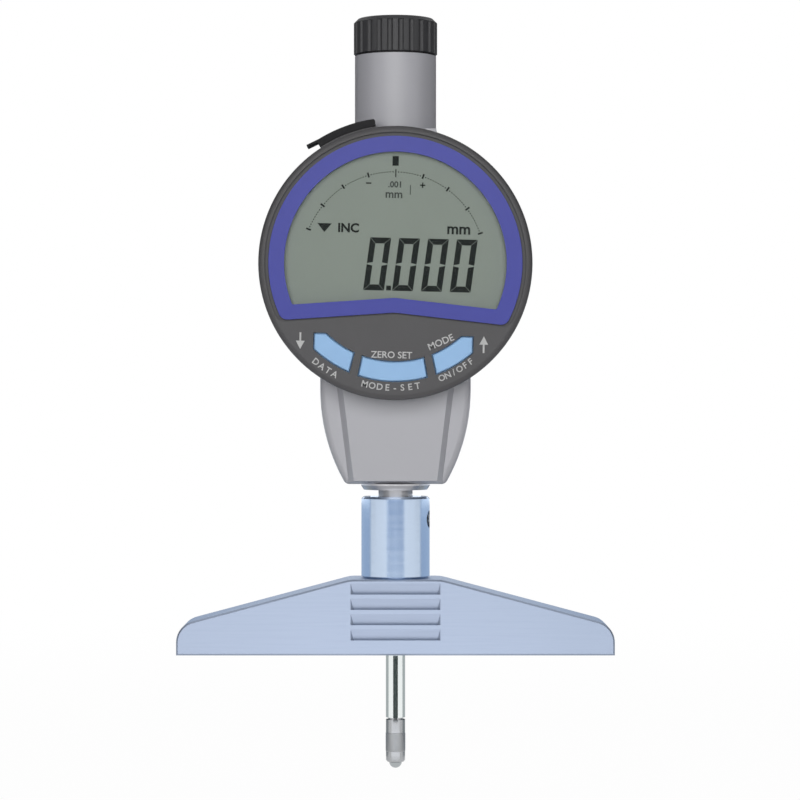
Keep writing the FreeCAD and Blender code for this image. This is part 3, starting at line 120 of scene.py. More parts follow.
@dataclass(frozen=True)
class Finish:
    """One real material with the way its surface was made.

    Attributes:
        name: The material's name.
        colour: Its main colour as sRGB hex.
        shade: The colour that it drifts to in slow patches.
        roughness: The middle roughness.
        spread: How far the roughness drifts each way.
        metallic: 1 for bare metal.
        ior: Refractive index, left at the default on metals.
        specular: Specular level, 0.5 being the usual.
        grain: How the surface was made.
        grain_mm: The spacing of the relief as it is drawn.
        relief_mm: The relief's depth.
        patch_mm: The spacing of the slow patches.
        coat: Clear coat weight.
        alpha: Opacity.
    """

    name: str
    colour: str
    shade: str
    roughness: float
    spread: float = 0.04
    metallic: float = 0.0
    ior: float = 1.5
    specular: float = 0.5
    grain: Grain = Grain.MOULDED
    grain_mm: float = 0.5
    relief_mm: float = 0.01
    patch_mm: float = 12.0
    coat: float = 0.0
    alpha: float = 1.0

    def stretch(self) -> Triple:
        """Work out how the grain is stretched for the way that the surface was made.

        Returns:
            Noise cells per metre along X, Y and Z.
        """
        fine = 1.0 / (self.grain_mm * MM)
        if self.grain is Grain.TURNED:
            return fine * RING_SQUEEZE, fine * RING_SQUEEZE, fine
        if self.grain is Grain.GROUND:
            return fine * LINE_SQUEEZE, fine, fine
        return fine, fine, fine

    def material(self) -> bpy.types.Material:
        """Make the Blender material once, to be shared from then on.

        Returns:
            The material.
        """
        made = bpy.data.materials.get(self.name)
        if made is not None:
            return made
        made = bpy.data.materials.new(self.name)
        made.use_nodes = True
        tree = made.node_tree
        tree.nodes.clear()
        place = add_node(tree, "ShaderNodeTexCoord").outputs["Object"]
        stretched = add_node(
            tree, "ShaderNodeMapping", inputs={"Vector": place, "Scale": self.stretch()},
        )
        fine = add_node(
            tree, "ShaderNodeTexNoise",
            inputs={"Vector": stretched.outputs["Vector"], "Scale": 1.0,
                    "Detail": GRAIN_OCTAVES, "Roughness": GRAIN_SOFTNESS},
        )
        patches = add_node(
            tree, "ShaderNodeTexNoise",
            inputs={"Vector": place, "Scale": 1.0 / (self.patch_mm * MM), "Detail": PATCH_OCTAVES},
        )
        colour = add_node(
            tree, "ShaderNodeMix", {"data_type": "RGBA"},
            {"Factor": patches.outputs["Fac"], 6: linear(self.colour), 7: linear(self.shade)},
        )
        rough = add_node(
            tree, "ShaderNodeMapRange",
            inputs={"Value": fine.outputs["Fac"], "From Min": NOISE_LOW, "From Max": NOISE_HIGH,
                    "To Min": max(SMOOTHEST, self.roughness - self.spread),
                    "To Max": self.roughness + self.spread},
        )
        relief = add_node(
            tree, "ShaderNodeBump",
            inputs={"Height": fine.outputs["Fac"], "Strength": 1.0,
                    "Distance": self.relief_mm * MM},
        )
        inputs = {
            "Base Color": colour.outputs[2], "Roughness": rough.outputs["Result"],
            "Normal": relief.outputs["Normal"], "Metallic": self.metallic,
            "Coat Weight": self.coat, "Alpha": self.alpha,
        }
        if not self.metallic:
            inputs["IOR"] = self.ior
            inputs["Specular IOR Level"] = self.specular
        surface = add_node(tree, "ShaderNodeBsdfPrincipled", inputs=inputs)
        add_node(tree, "ShaderNodeOutputMaterial", inputs={"Surface": surface.outputs["BSDF"]})
        return made


# Lathe rings, grinding lines, mould grain and grit marks are really 0.02 to 0.1 mm apart. A pixel
# shows 0.23 mm, so they are drawn 0.3 to 0.6 mm apart, and the finest polish wider still.

# Satin hard chrome on hardened steel, blasted before plating: a soft blue-grey glow with no sharp
# mirror, over long grinding lines that just show.
SATIN_CHROME = Finish(
    "satin_chrome_plate", "#9da7b9", "#97a2b4", 0.52, 0.05, 1.0,
    grain=Grain.GROUND, grain_mm=0.5, relief_mm=0.002, patch_mm=30.0,
)
# Bright nickel-chrome plate on a turned sleeve: clear upright stripes of light and shade, which the
# faint lathe rings soften.
BRIGHT_CHROME = Finish(
    "bright_chrome_plate", "#c3d2e6", "#bccde3", 0.2, 0.03, 1.0,
    grain=Grain.TURNED, grain_mm=0.6, relief_mm=0.0015, patch_mm=20.0,
)
# Ground tool steel of the stem and its collar: stripes with soft edges and a neutral grey tone.
GROUND_STEEL = Finish(
    "ground_tool_steel", "#c0c0c2", "#b7b7ba", 0.3, 0.04, 1.0,
    grain=Grain.TURNED, grain_mm=0.5, relief_mm=0.0015, patch_mm=8.0,
)
# Lapped spindle steel, the smoothest surface on the gauge: nearly a mirror, with a dark middle.
LAPPED_STEEL = Finish(
    "lapped_spindle_steel", "#eef3f2", "#e8edec", 0.1, 0.02, 1.0,
    grain=Grain.POLISHED, grain_mm=0.6, relief_mm=0.0005, patch_mm=10.0,
)
# Machined steel of the contact point: a mid grey with a broad upright highlight.
MACHINED_STEEL = Finish(
    "machined_contact_steel", "#b1b3b5", "#a5a7a9", 0.2, 0.04, 1.0,
    grain=Grain.TURNED, grain_mm=0.4, relief_mm=0.002, patch_mm=3.0,
)
# The same steel under a rolled knurl, whose crossing ridges scatter the light: duller from a higher
# roughness, and greyer from painted shade, a colour darker than the machined steel's for the shade
# between the ridges.
KNURL_STEEL_PAINTED_SHADE = Finish(
    "knurl_steel_painted_shade", "#a2a4a5", "#96989a", 0.36, 0.05, 1.0,
    grain=Grain.TURNED, grain_mm=0.5, relief_mm=0.001, patch_mm=3.0,
)
# Polished tungsten carbide ball: a slightly green grey with a small sharp highlight.
CARBIDE = Finish(
    "tungsten_carbide", "#b2b7b9", "#a9aeb0", 0.24, 0.02, 1.0,
    grain=Grain.POLISHED, grain_mm=0.6, relief_mm=0.0004, patch_mm=3.0,
)
# Black oxide on small steel screws, oiled: dark metal with a dull sheen.
BLACK_OXIDE = Finish(
    "black_oxide_steel", "#3a3b3e", "#303134", 0.38, 0.06, 1.0,
    grain=Grain.TURNED, grain_mm=0.3, relief_mm=0.002, patch_mm=2.0,
)
# Polyester enamel sprayed on a zinc casting: light grey and satin, with a faint orange peel of
# 1.1 mm, which is its real spacing.
GREY_ENAMEL = Finish(
    "satin_grey_enamel", "#babac0", "#b5b5bb", 0.35, 0.04, ior=1.52, specular=0.65,
    grain=Grain.SPRAYED, grain_mm=1.1, relief_mm=0.012, patch_mm=25.0,
)
# ABS injected into a spark-eroded mould: dark grey with an even dull grain and soft highlights.
# The real grain of about 0.1 mm is drawn at 0.35 mm, because it is too fine to show.
DARK_ABS = Finish(
    "moulded_dark_abs", "#4e4d4f", "#494849", 0.5, 0.05, ior=1.53, specular=0.4,
    grain=Grain.MOULDED, grain_mm=0.35, relief_mm=0.012, patch_mm=14.0,
)
# The same resin in black for the cap, duller where fingers turn it.
BLACK_ABS = Finish(
    "moulded_black_abs", "#333335", "#2e2e30", 0.48, 0.05, ior=1.53, specular=0.45,
    grain=Grain.MOULDED, grain_mm=0.35, relief_mm=0.014, patch_mm=8.0,
)
# Screen-printed lacquer on an acrylic frame: strong blue with a slight gloss.
BLUE_LACQUER = Finish(
    "blue_lacquered_acrylic", "#1d2aae", "#1926a4", 0.33, 0.03, ior=1.49,
    grain=Grain.SPRAYED, grain_mm=0.8, relief_mm=0.004, patch_mm=18.0, coat=0.15,
)
# Silicone-coated ABS keys: matt sky blue with a soft sheen at the edges.
KEY_ABS = Finish(
    "coated_blue_key_abs", "#a6d3ff", "#9ecbfa", 0.46, 0.04, ior=1.5, specular=0.4,
    grain=Grain.MOULDED, grain_mm=0.4, relief_mm=0.008, patch_mm=5.0,
)
# Moulded nitrile rubber of the port cover and the seal: nearly black, and dull all over.
NITRILE = Finish(
    "moulded_nitrile_rubber", "#19191b", "#151517", 0.6, 0.05, ior=1.52, specular=0.2,
    grain=Grain.MOULDED, grain_mm=0.5, relief_mm=0.02, patch_mm=6.0,
)
# Moulded silicone rubber of the key mat, hidden inside: an even milky grey.
SILICONE = Finish(
    "silicone_key_mat", "#7c7e82", "#74767a", 0.55, 0.04, ior=1.41,
    grain=Grain.MOULDED, grain_mm=0.6, relief_mm=0.01, patch_mm=6.0,
)
# Cast acrylic window: clear, seen only by its faint veil.
CLEAR_ACRYLIC = Finish(
    "clear_acrylic", "#707a76", "#6a7470", 0.06, 0.01, ior=1.49,
    grain=Grain.POLISHED, grain_mm=3.0, relief_mm=0.0005, patch_mm=20.0, alpha=0.04,
)
# Reflective liquid crystal cell: a grey-green rear reflector with a very fine sparkle.
# The reflector's real texture of 0.05 mm is drawn at 0.4 mm, because it is too fine to show.
LCD_REFLECTOR = Finish(
    "reflective_liquid_crystal", "#96a196", "#909b90", 0.4, 0.05, ior=1.5, specular=0.3,
    grain=Grain.SPRAYED, grain_mm=0.4, relief_mm=0.004, patch_mm=20.0,
)
# A switched segment of the cell: nearly black with a green cast.
LCD_SEGMENT = Finish(
    "switched_liquid_crystal", "#08120f", "#060e0c", 0.35, 0.03, ior=1.5, specular=0.1,
    grain=Grain.POLISHED, grain_mm=1.0, relief_mm=0.001, patch_mm=10.0,
)
# The small signs are thinner segments, so they only switch to a dark grey.
LCD_FAINT = Finish(
    "resting_liquid_crystal", "#303a34", "#2c3630", 0.38, 0.03, ior=1.5, specular=0.25,
    grain=Grain.POLISHED, grain_mm=1.0, relief_mm=0.001, patch_mm=10.0,
)
# White pad-printing ink, laid on thin: a light grey that the dark resin just shows through.
WHITE_INK = Finish(
    "pad_printed_white_ink", "#d4d4d3", "#c4c4c4", 0.5, 0.05, ior=1.5, specular=0.3,
    grain=Grain.SPRAYED, grain_mm=0.4, relief_mm=0.004, patch_mm=2.0,
)
# Turned phosphor bronze of the bushes: a warm brown metal with rings that catch the light.
BRONZE = Finish(
    "phosphor_bronze", "#c79a5c", "#bb8e50", 0.3, 0.05, 1.0,
    grain=Grain.TURNED, grain_mm=0.4, relief_mm=0.002, patch_mm=4.0,
)
# Milled aluminium of the scale's carrier: pale metal with straight cutter lines.
MILLED_ALUMINIUM = Finish(
    "milled_aluminium", "#c9cacc", "#c0c1c4", 0.36, 0.05, 1.0,
    grain=Grain.GROUND, grain_mm=0.4, relief_mm=0.003, patch_mm=6.0,
)
# Glass-epoxy board under green solder mask: deep green, with a slight gloss.
SOLDER_MASK = Finish(
    "green_solder_mask", "#1f5a38", "#1a5032", 0.35, 0.05, ior=1.52,
    grain=Grain.SPRAYED, grain_mm=0.6, relief_mm=0.006, patch_mm=5.0,
)
# Ground and etched glass of the scale: a pale green grey with a frosted gloss.
SCALE_GLASS = Finish(
    "etched_scale_glass", "#c9d0cd", "#bcc4c1", 0.15, 0.03, ior=1.52,
    grain=Grain.GROUND, grain_mm=0.5, relief_mm=0.002, patch_mm=4.0,
)
# Machined acetal of the friction washer: an even off-white with a waxy sheen.
ACETAL = Finish(
    "white_acetal", "#dcdcd6", "#d4d4ce", 0.4, 0.04, ior=1.48,
    grain=Grain.MOULDED, grain_mm=0.5, relief_mm=0.005, patch_mm=6.0,
)
# Gold flash on the socket's stamped contacts: small warm yellow glints.
GOLD_FLASH = Finish(
    "gold_flashed_contact", "#d9b15a", "#cfa64f", 0.22, 0.03, 1.0,
    grain=Grain.GROUND, grain_mm=0.3, relief_mm=0.001, patch_mm=2.0,
)

CAD_FINISHES: Dict[str, Finish] = {
    "base_bar": SATIN_CHROME, "stem_sleeve": BRIGHT_CHROME, "clamp_screw": BLACK_OXIDE,
    "stem": GROUND_STEEL, "lower_bush": BRONZE, "upper_bush": BRONZE,
    "spindle": LAPPED_STEEL, "contact_point": MACHINED_STEEL, "contact_ball": CARBIDE,
    "case_casting": GREY_ENAMEL, "scale_carrier": MILLED_ALUMINIUM, "encoder_scale": SCALE_GLASS,
    "guide_rod": LAPPED_STEEL, "return_spring": MACHINED_STEEL, "sensor_board": SOLDER_MASK,
    "back_cover": GREY_ENAMEL, "cover_screws": BLACK_OXIDE, "cell": LAPPED_STEEL,
    "cell_cap": BLACK_ABS, "top_cap": BLACK_ABS, "cap_seal": NITRILE, "head_case": DARK_ABS,
    "head_retainer": MACHINED_STEEL, "retainer_screws": BLACK_OXIDE,
    "friction_washer": ACETAL, "bezel": DARK_ABS,
    "display_frame": BLUE_LACQUER, "window": CLEAR_ACRYLIC, "lcd_panel": LCD_REFLECTOR,
    "lcd_holder": BLACK_ABS, "main_board": SOLDER_MASK, "board_screws": BLACK_OXIDE,
    "key_mat": SILICONE, "mode_key": KEY_ABS, "zero_key": KEY_ABS, "power_key": KEY_ABS,
    "data_socket": BLACK_ABS, "port_cover": NITRILE,
}


def piece_from(
    name: str,
    vertices: Sequence[Vector],
    faces: Sequence[Sequence[int]],
    finish: Finish,
    body: str,
    smooth: bool = False,
) -> bpy.types.Object:
    """Make a mesh piece that moves with a CAD body.

    Args:
        name: The piece's name.
        vertices: Corner points in metres, in the shared frame.
        faces: Corner numbers of each face.
        finish: Its finish.
        body: The CAD body that it rides on.
        smooth: Whether its faces are shaded smooth.

    Returns:
        The new object.
    """
    mesh = bpy.data.meshes.new(name)
    mesh.from_pydata([tuple(v) for v in vertices], [], [tuple(f) for f in faces])
    mesh.validate()
    mesh.materials.append(finish.material())
    if smooth:
        mesh.shade_smooth()
    made = bpy.data.objects.new(name, mesh)
    bpy.context.scene.collection.objects.link(made)
    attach(made, body)
    LOG.info("%s: %d faces on %s", name, len(mesh.polygons), body)
    return made


@dataclass
class Artwork:
    """Thin flat shapes on a plane that faces the reader, gathered into one mesh.

    Attributes:
        front_y: The printed face's depth, in metres.
        back_y: The depth of the surface that it lies on.
        place: The matrix from the artwork's upright plane to the shared frame.
        vertices: The corner points that are gathered so far, in metres.
        faces: Their faces, as numbers of corner points.
    """

    front_y: float
    back_y: float
    place: Matrix
    vertices: List[Vector] = field(default_factory=list)
    faces: List[List[int]] = field(default_factory=list)

    def add(self, outline: Sequence[Point2]) -> None:
        """Add one closed shape.

        Args:
            outline: Its corners (x, z) in millimetres, counter-clockwise as the reader sees it.
        """
        start = len(self.vertices)
        count = len(outline)
        for depth in (self.front_y, self.back_y):
            for x, z in outline:
                self.vertices.append(self.place @ Vector((x * MM, depth, z * MM)))
        self.faces.append([start + n for n in range(count)])
        self.faces.append([start + count + n for n in reversed(range(count))])
        for n in range(count):
            after = (n + 1) % count
            self.faces.append([start + after, start + n, start + count + n, start + count + after])

    def bar(self, x0: float, x1: float, z0: float, z1: float) -> None:
        """Add an upright rectangle."""
        self.add([(x0, z0), (x1, z0), (x1, z1), (x0, z1)])

    def sector(self, inner: float, outer: float, first: float, last: float) -> None:
        """Add a short stretch of a ring about the head's axis, with straight edges.

        Args:
            inner: Inner radius in millimetres.
            outer: Outer radius in millimetres.
            first: Start angle in degrees from the top, positive to the reader's right.
            last: End angle.
        """
        corners = ((inner, first), (inner, last), (outer, last), (outer, first))
        self.add([(radius * math.sin(math.radians(angle)), radius * math.cos(math.radians(angle)))
                  for radius, angle in corners])

    def text(self, words: str, height: float, centre: Point2, turn: float, bold: float) -> None:
        """Add a straight line of lettering.

        Args:
            words: What it says.
            height: Capital height in millimetres.
            centre: The middle of the words.
            turn: Degrees that the line rises to the right.
            bold: How far each stroke is widened, in millimetres.
        """
        curve = bpy.data.curves.new("lettering", "FONT")
        curve.body = words
        curve.size = height / CAPITAL_SHARE
        curve.align_x = "CENTER"
        curve.offset = bold
        curve.resolution_u = LETTER_STEPS
        self._take(curve, Matrix.Translation((centre[0] * MM, 0, centre[1] * MM))
                   @ Matrix.Rotation(math.radians(-turn), 4, "Y")
                   @ Matrix.Translation((0, 0, -height * MM / 2)))

    def arc_text(
        self, words: str, height: float, radius: float, middle: float, pitch: float, bold: float,
    ) -> None:
        """Add lettering that follows a circle about the head's axis, tops towards the axis.

        Args:
            words: What it says.
            height: Capital height in millimetres.
            radius: Radius of the letters' middle line.
            middle: Angle of the words' middle in degrees from straight down, positive to the right.
            pitch: Distance from letter to letter along the circle, in millimetres.
            bold: How far each stroke is widened, in millimetres.
        """
        step = math.degrees(pitch / radius)
        for n, letter in enumerate(words):
            if letter == " ":
                continue
            angle = middle + (n - (len(words) - 1) / 2) * step
            x = radius * math.sin(math.radians(angle))
            z = -radius * math.cos(math.radians(angle))
            self.text(letter, height, (x, z), angle, bold)

    def _take(self, curve: bpy.types.TextCurve, matrix: Matrix) -> None:
        """Turn a text curve into flat shapes on this plane, and remove it.

        Args:
            curve: The text, drawn with a millimetre as one unit because small ones fill badly.
            matrix: Where the text goes in the artwork's upright plane, in metres.
        """
        holder = bpy.data.objects.new("lettering", curve)
        bpy.context.scene.collection.objects.link(holder)
        drawn = holder.evaluated_get(bpy.context.evaluated_depsgraph_get())
        flat = bpy.data.meshes.new_from_object(drawn)
        start = len(self.vertices)
        upright = Matrix(((1, 0, 0, 0), (0, 0, 0, self.front_y), (0, 1, 0, 0), (0, 0, 0, 1)))
        flat.transform(self.place @ matrix @ upright @ Matrix.Scale(MM, 4))
        self.vertices.extend(v.co.copy() for v in flat.vertices)
        self.faces.extend([start + i for i in p.vertices] for p in flat.polygons)
        bpy.data.meshes.remove(flat)
        bpy.data.objects.remove(holder)
        bpy.data.curves.remove(curve)

    def piece(self, name: str, finish: Finish, body: str, slot: str) -> bpy.types.Object:
        """Make the gathered shapes into one piece.

        Args:
            name: The piece's name.
            finish: Its finish.
            body: The CAD body that it rides on.
            slot: Its material slot; not used.

        Returns:
            The new object.
        """
        return piece_from(name, self.vertices, self.faces, finish, body)


@dataclass
class CadFinishes:
    """Puts each CAD node's own finish on it.

    Attributes:
        finishes: The finish of each node, by its name.
    """

    finishes: Dict[str, Finish]

    def dress(self) -> None:
        """Fill every CAD node's material slots and report nodes with no finish."""
        for name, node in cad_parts.items():
            finish = self.finishes.get(name)
            if finish is None:
                LOG.warning("%s has no finish", name)
                continue
            holder = node if isinstance(node, bpy.types.Object) else bpy.data.objects[name]
            if not holder.material_slots:
                holder.data.materials.append(None)
            for held in holder.material_slots:
                held.link = "OBJECT"
                held.material = finish.material()
            LOG.info("%s: %s", name, finish.name)


@dataclass
class ContactPoint:
    """The turned contact point's knurled band, from the photo: 22 ridges of 0.64 mm round it.

    Attributes:
        top_mm: Height of the band's upper edge.
        bottom_mm: Height of its lower edge.
        radius_mm: The body's radius.
        sink_mm: How far the valleys lie under the body's surface.
        raise_mm: How far the ridges stand out.
        ridges: Ridges round the band.
        steps: Mesh steps across one ridge.
        rows: Mesh rows from edge to edge.
        fade_share: The part of the height over which the knurl runs out at each edge.
    """

    top_mm: float = -18.5
    bottom_mm: float = -23.2
    radius_mm: float = 2.25
    sink_mm: float = 0.02
    raise_mm: float = 0.07
    ridges: int = 22
    steps: int = 8
    rows: int = 44
    fade_share: float = 1 / 12

    def build(self) -> None:
        """Make the knurl as a sleeve of crossing ridges just over the turned body."""
        around = self.ridges * self.steps
        height = self.top_mm - self.bottom_mm
        points: List[Vector] = []
        for row in range(self.rows + 1):
            share = row / self.rows
            fade = min(1.0, share / self.fade_share, (1 - share) / self.fade_share)
            for n in range(around):
                angle = 2 * math.pi * n / around
                climb = share * height / self.radius_mm
                right = abs(math.sin((angle + climb) * self.ridges / 2))
                left = abs(math.sin((angle - climb) * self.ridges / 2))
                out = fade * (self.sink_mm + self.raise_mm * min(right, left))
                radius = self.radius_mm - self.sink_mm + out
                z = self.bottom_mm + share * height
                points.append(Vector((radius * math.cos(angle), radius * math.sin(angle), z)) * MM)
        faces = [
            [row * around + n, row * around + (n + 1) % around,
             (row + 1) * around + (n + 1) % around, (row + 1) * around + n]
            for row in range(self.rows) for n in range(around)
        ]
        # The knurl's finish carries painted shade: its colour is darker than the machined steel's.
        piece_from(
            "contact_knurl", points, faces, KNURL_STEEL_PAINTED_SHADE, "spindle_group", True,
        )


@dataclass
class BackCover:
    """Painted shade in the cross recesses of the cover's screws: a dark cross on each head stands
    for the shade inside its recess.

    Attributes:
        arm_mm: Half length of each arm of the cross.
        width_mm: Half width of each arm.
        head_mm: Radius of a screw's head.
        proud_mm: How far the dark shape stands over the head.
        deep_mm: How far it reaches into it.
    """

    arm_mm: float = 1.0
    width_mm: float = 0.22
    head_mm: float = 1.6
    proud_mm: float = 0.02
    deep_mm: float = 0.2

    def build(self) -> None:
        """Make one dark cross of painted shade on each screw head, where its recess lies in shade.
        """
        low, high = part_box("cover_screws")
        spread_x = (high[0] - low[0]) / 2 - self.head_mm * MM
        spread_z = (high[2] - low[2]) / 2 - self.head_mm * MM
        middle = Vector(((low[0] + high[0]) / 2, 0, (low[2] + high[2]) / 2))
        art = Artwork(
            high[1] + self.proud_mm * MM, high[1] - self.deep_mm * MM, Matrix.Translation(middle),
        )
        a, w = self.arm_mm, self.width_mm
        cross = [(-w, -a), (w, -a), (w, -w), (a, -w), (a, w), (w, w),
                 (w, a), (-w, a), (-w, w), (-a, w), (-a, -w), (-w, -w)]
        for side in (-1, 1):
            for level in (-1, 1):
                x0, z0 = side * spread_x / MM, level * spread_z / MM
                art.add([(x0 + x, z0 + z) for x, z in cross])
        # The dark crosses are painted shade, black resin laid where the recesses' shade falls.
        art.piece("cover_screw_recess_shade", BLACK_ABS, "gauge_body", "dark_steel")


@dataclass(frozen=True)
class Words:
    """A straight line of lettering on the head.

    Attributes:
        text: What it says.
        height: Capital height in millimetres.
        centre: Its middle, across and up from the head's axis.
        turn: Degrees that the line rises to the right.
        bold: How far each stroke is widened, in millimetres.
    """

    text: str
    height: float
    centre: Point2
    turn: float
    bold: float


@dataclass(frozen=True)
class ArcWords:
    """Lettering that follows the bezel's rim.

    Attributes:
        text: What it says.
        height: Capital height in millimetres.
        radius: Distance from the head's axis to the letters' middle.
        middle: Degrees from the foot of the head to the middle letter, positive to the right.
        pitch: Distance from letter to letter in millimetres.
        bold: How far each stroke is widened, in millimetres.
    """

    text: str
    height: float
    radius: float
    middle: float
    pitch: float
    bold: float = 0.03


# The display's signs. Bars are left, right, lower and upper edge in millimetres from the axis.
POINTER_BARS = ((-0.82, 0.6, 22.2, 24.4), (-0.13, 0.13, 19.6, 21.4))
MINUS_BAR = (-6.75, -5.5, 17.95, 18.25)
PLUS_BARS = ((5.55, 6.8, 17.75, 18.05), (6.03, 6.33, 17.28, 18.53))
INCREMENT_MARK = ((-17.6, 8.72), (-15.95, 6.72), (-14.3, 8.72))
DARK_SIGNS = (
    Words("INC", 2.05, (-10.5, 7.9), 0.0, 0.1),
    Words("mm", 2.6, (14.65, 8.3), 0.0, 0.09),
)
RESTING_SIGNS = (
    Words(".001", 1.4, (-0.05, 18.0), 0.0, 0.06),
    Words("mm", 1.9, (-0.3, 15.85), 0.0, 0.06),
)
RESTING_BAR = (3.3, 3.5, 15.7, 17.9)
# The print on the bezel.
ARC_NAMES = (
    ArcWords("DATA", 1.5, 28.75, -32.3, 1.7),
    ArcWords("MODE-SET", 1.5, 28.3, -0.6, 1.72),
    ArcWords("ON/OFF", 1.45, 28.1, 31.0, 1.5),
)
KEY_NAMES = (
    Words("ZERO SET", 1.55, (-0.35, -20.85), 0.0, 0.03),
    Words("MODE", 1.6, (10.7, -17.7), 24.6, 0.03),
)
DOWN_ARROW_AT, UP_ARROW_AT = (-21.15, -18.2), (20.5, -18.1)
ARROW = ((-0.2, -1.9), (0.2, -1.9), (0.2, 0.0), (1.0, 0.0), (0.0, 1.9), (-1.0, 0.0), (-0.2, 0.0))


@dataclass
class DisplayHead:
    """The turning head: its display figures, lettering and socket contacts.

    Attributes:
        turn_deg: How far the head is turned at rest, clockwise to the reader.
        figure_proud: How far the dark signs stand over the display panel, in millimetres.
        sign_proud: The same of the resting signs.
        print_proud: How far the print stands over the bezel.
        digit_height: Height of the large figures in millimetres.
        digit_width: Width of a figure before it leans.
        digit_centres: The middle of each figure, across from the head's axis.
        digit_level: The figures' middle height above the axis.
        stroke: Width of a segment.
        segment_gap: Half the gap between two segments.
        segment_step: How far an upright's blunt end slopes.
        lean_deg: How far the figures lean.
        point_centre: The decimal point's middle, across from the axis.
        point_rise: The same above the figures' foot.
        point_half: Half its width.
        display_shift: How far the display's signs stand to the right of the head's axis.
        scale_reach: Degrees from the top of the head to the last mark of the round scale.
        scale_marks: Marks on each side of the top.
        scale_division: Marks from long mark to long mark.
        long_mark: Inner and outer radius and half width in degrees of a long mark.
        short_mark: The same of a short one.
        port_deg: The port's place, anticlockwise from the head's top.
        port_y: The depth of the port's middle, in metres.
        contacts_aside: Contacts on each side of the middle one.
        contact_pitch: Distance from contact to contact in millimetres.
        contact_half: Half the width of a contact.
        contact_depth: Half its thickness.
        contact_foot: Its inner end, from the head's axis.
        contact_tip: Its outer end.
        body: The CAD body that everything here rides on.
    """

    turn_deg: float = 1.4
    figure_proud: float = 0.03
    sign_proud: float = 0.02
    print_proud: float = 0.02
    digit_height: float = 12.05
    digit_width: float = 4.75
    digit_centres: Tuple[float, ...] = (-3.75, 2.83, 9.4, 15.97)
    digit_level: float = -0.25
    stroke: float = 1.34
    segment_gap: float = 0.05
    segment_step: float = 0.3
    lean_deg: float = 6.5
    point_centre: float = -1.0
    point_rise: float = 0.6
    point_half: float = 0.55
    display_shift: float = -0.4
    scale_reach: float = 69.6
    scale_marks: int = 40
    scale_division: int = 10
    long_mark: Triple = (20.3, 21.45, 0.55)
    short_mark: Triple = (20.68, 20.92, 0.4)
    port_deg: float = 23.6
    port_y: float = -13.5 * MM
    contacts_aside: int = 2
    contact_pitch: float = 1.27
    contact_half: float = 0.35
    contact_depth: float = 0.15
    contact_foot: float = 26.2
    contact_tip: float = 28.6
    body: str = "display_head"

    def place(self) -> Matrix:
        """Find the matrix from the head's upright plane to the shared frame.

        Returns:
            The matrix.
        """
        low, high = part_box("bezel")
        axis = Matrix.Translation((0, 0, (low[2] + high[2]) / 2))
        return axis @ Matrix.Rotation(math.radians(self.turn_deg), 4, "Y")

    def build(self) -> None:
        """Make the figures, the scale, the signs, the lettering and the contacts."""
        self.figures()
        self.scale()
        self.resting_signs()
        self.lettering()
        self.contacts()

    def on_panel(self, proud_mm: float) -> Artwork:
        """Start a sheet of artwork on the display panel's face.

        Args:
            proud_mm: How far it stands over the panel.

        Returns:
            The empty sheet.
        """
        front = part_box("lcd_panel")[0][1]
        shift = Matrix.Translation((self.display_shift * MM, 0, 0))
        return Artwork(front - proud_mm * MM, front, self.place() @ shift)

    def on_bezel(self) -> Artwork:
        """Start a sheet of print on the bezel's face.

        Returns:
            The empty sheet.
        """
        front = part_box("bezel")[0][1]
        return Artwork(front - self.print_proud * MM, front, self.place())

    def figures(self) -> None:
        """Make the large 0.000 in seven-segment figures."""
        art = self.on_panel(self.figure_proud)
        for centre in self.digit_centres:
            self.figure_zero(art, centre)
        point_z = self.digit_level - self.digit_height / 2 + self.point_rise
        art.bar(self.point_centre - self.point_half, self.point_centre + self.point_half,
                point_z - self.point_half, point_z + self.point_half)
        art.piece("display_figures", LCD_SEGMENT, self.body, "lcd_glass")

    def figure_zero(self, art: Artwork, centre_x: float) -> None:
        """Add one seven-segment nought: every segment but the middle one.

        Args:
            art: The sheet of artwork.
            centre_x: The figure's middle.
        """
        half_w, half_h = self.digit_width / 2, self.digit_height / 2
        slope = math.tan(math.radians(self.lean_deg))
        shapes = [self.level_segment(half_h, half_h - self.stroke),
                  self.level_segment(-half_h, -half_h + self.stroke)]
        for side in (-1, 1):
            x_out, x_in = side * half_w, side * (half_w - self.stroke)
            shapes.append(self.upright_segment(x_out, x_in, self.segment_gap, half_h))
            shapes.append(self.upright_segment(x_out, x_in, -half_h, -self.segment_gap))
        for shape in shapes:
            art.add([(centre_x + x + z * slope, self.digit_level + z) for x, z in shape])

    def level_segment(self, z_out: float, z_in: float) -> List[Point2]:
        """Draw the top or bottom segment of a figure.

        Args:
            z_out: Height of its outer edge from the figure's middle.
            z_in: Height of its inner edge.

        Returns:
            Its outline before it leans.
        """
        half_w, stroke, gap = self.digit_width / 2, self.stroke, self.segment_gap
        shape = [(-half_w + gap, z_out), (half_w - gap, z_out),
                 (half_w - stroke - gap, z_in), (-half_w + stroke + gap, z_in)]
        return shape if z_out < z_in else shape[::-1]

    def upright_segment(
        self, x_out: float, x_in: float, low: float, high: float,
    ) -> List[Point2]:
        """Draw an upright segment, blunt at the figure's waist and mitred at its other end.

        Args:
            x_out: Its outer edge from the figure's middle.
            x_in: Its inner edge.
            low: Height of its lower end from the figure's middle.
            high: Height of its upper end.

        Returns:
            Its outline before it leans.
        """
        stroke, gap, step = self.stroke, self.segment_gap, self.segment_step
        lower_in, upper_in = low + gap + step, high - stroke - gap
        if low < 0:
            lower_in, upper_in = low + stroke + gap, high - gap - step
        shape = [(x_out, low + gap), (x_in, lower_in), (x_in, upper_in), (x_out, high - gap)]
        return shape if x_out < x_in else shape[::-1]

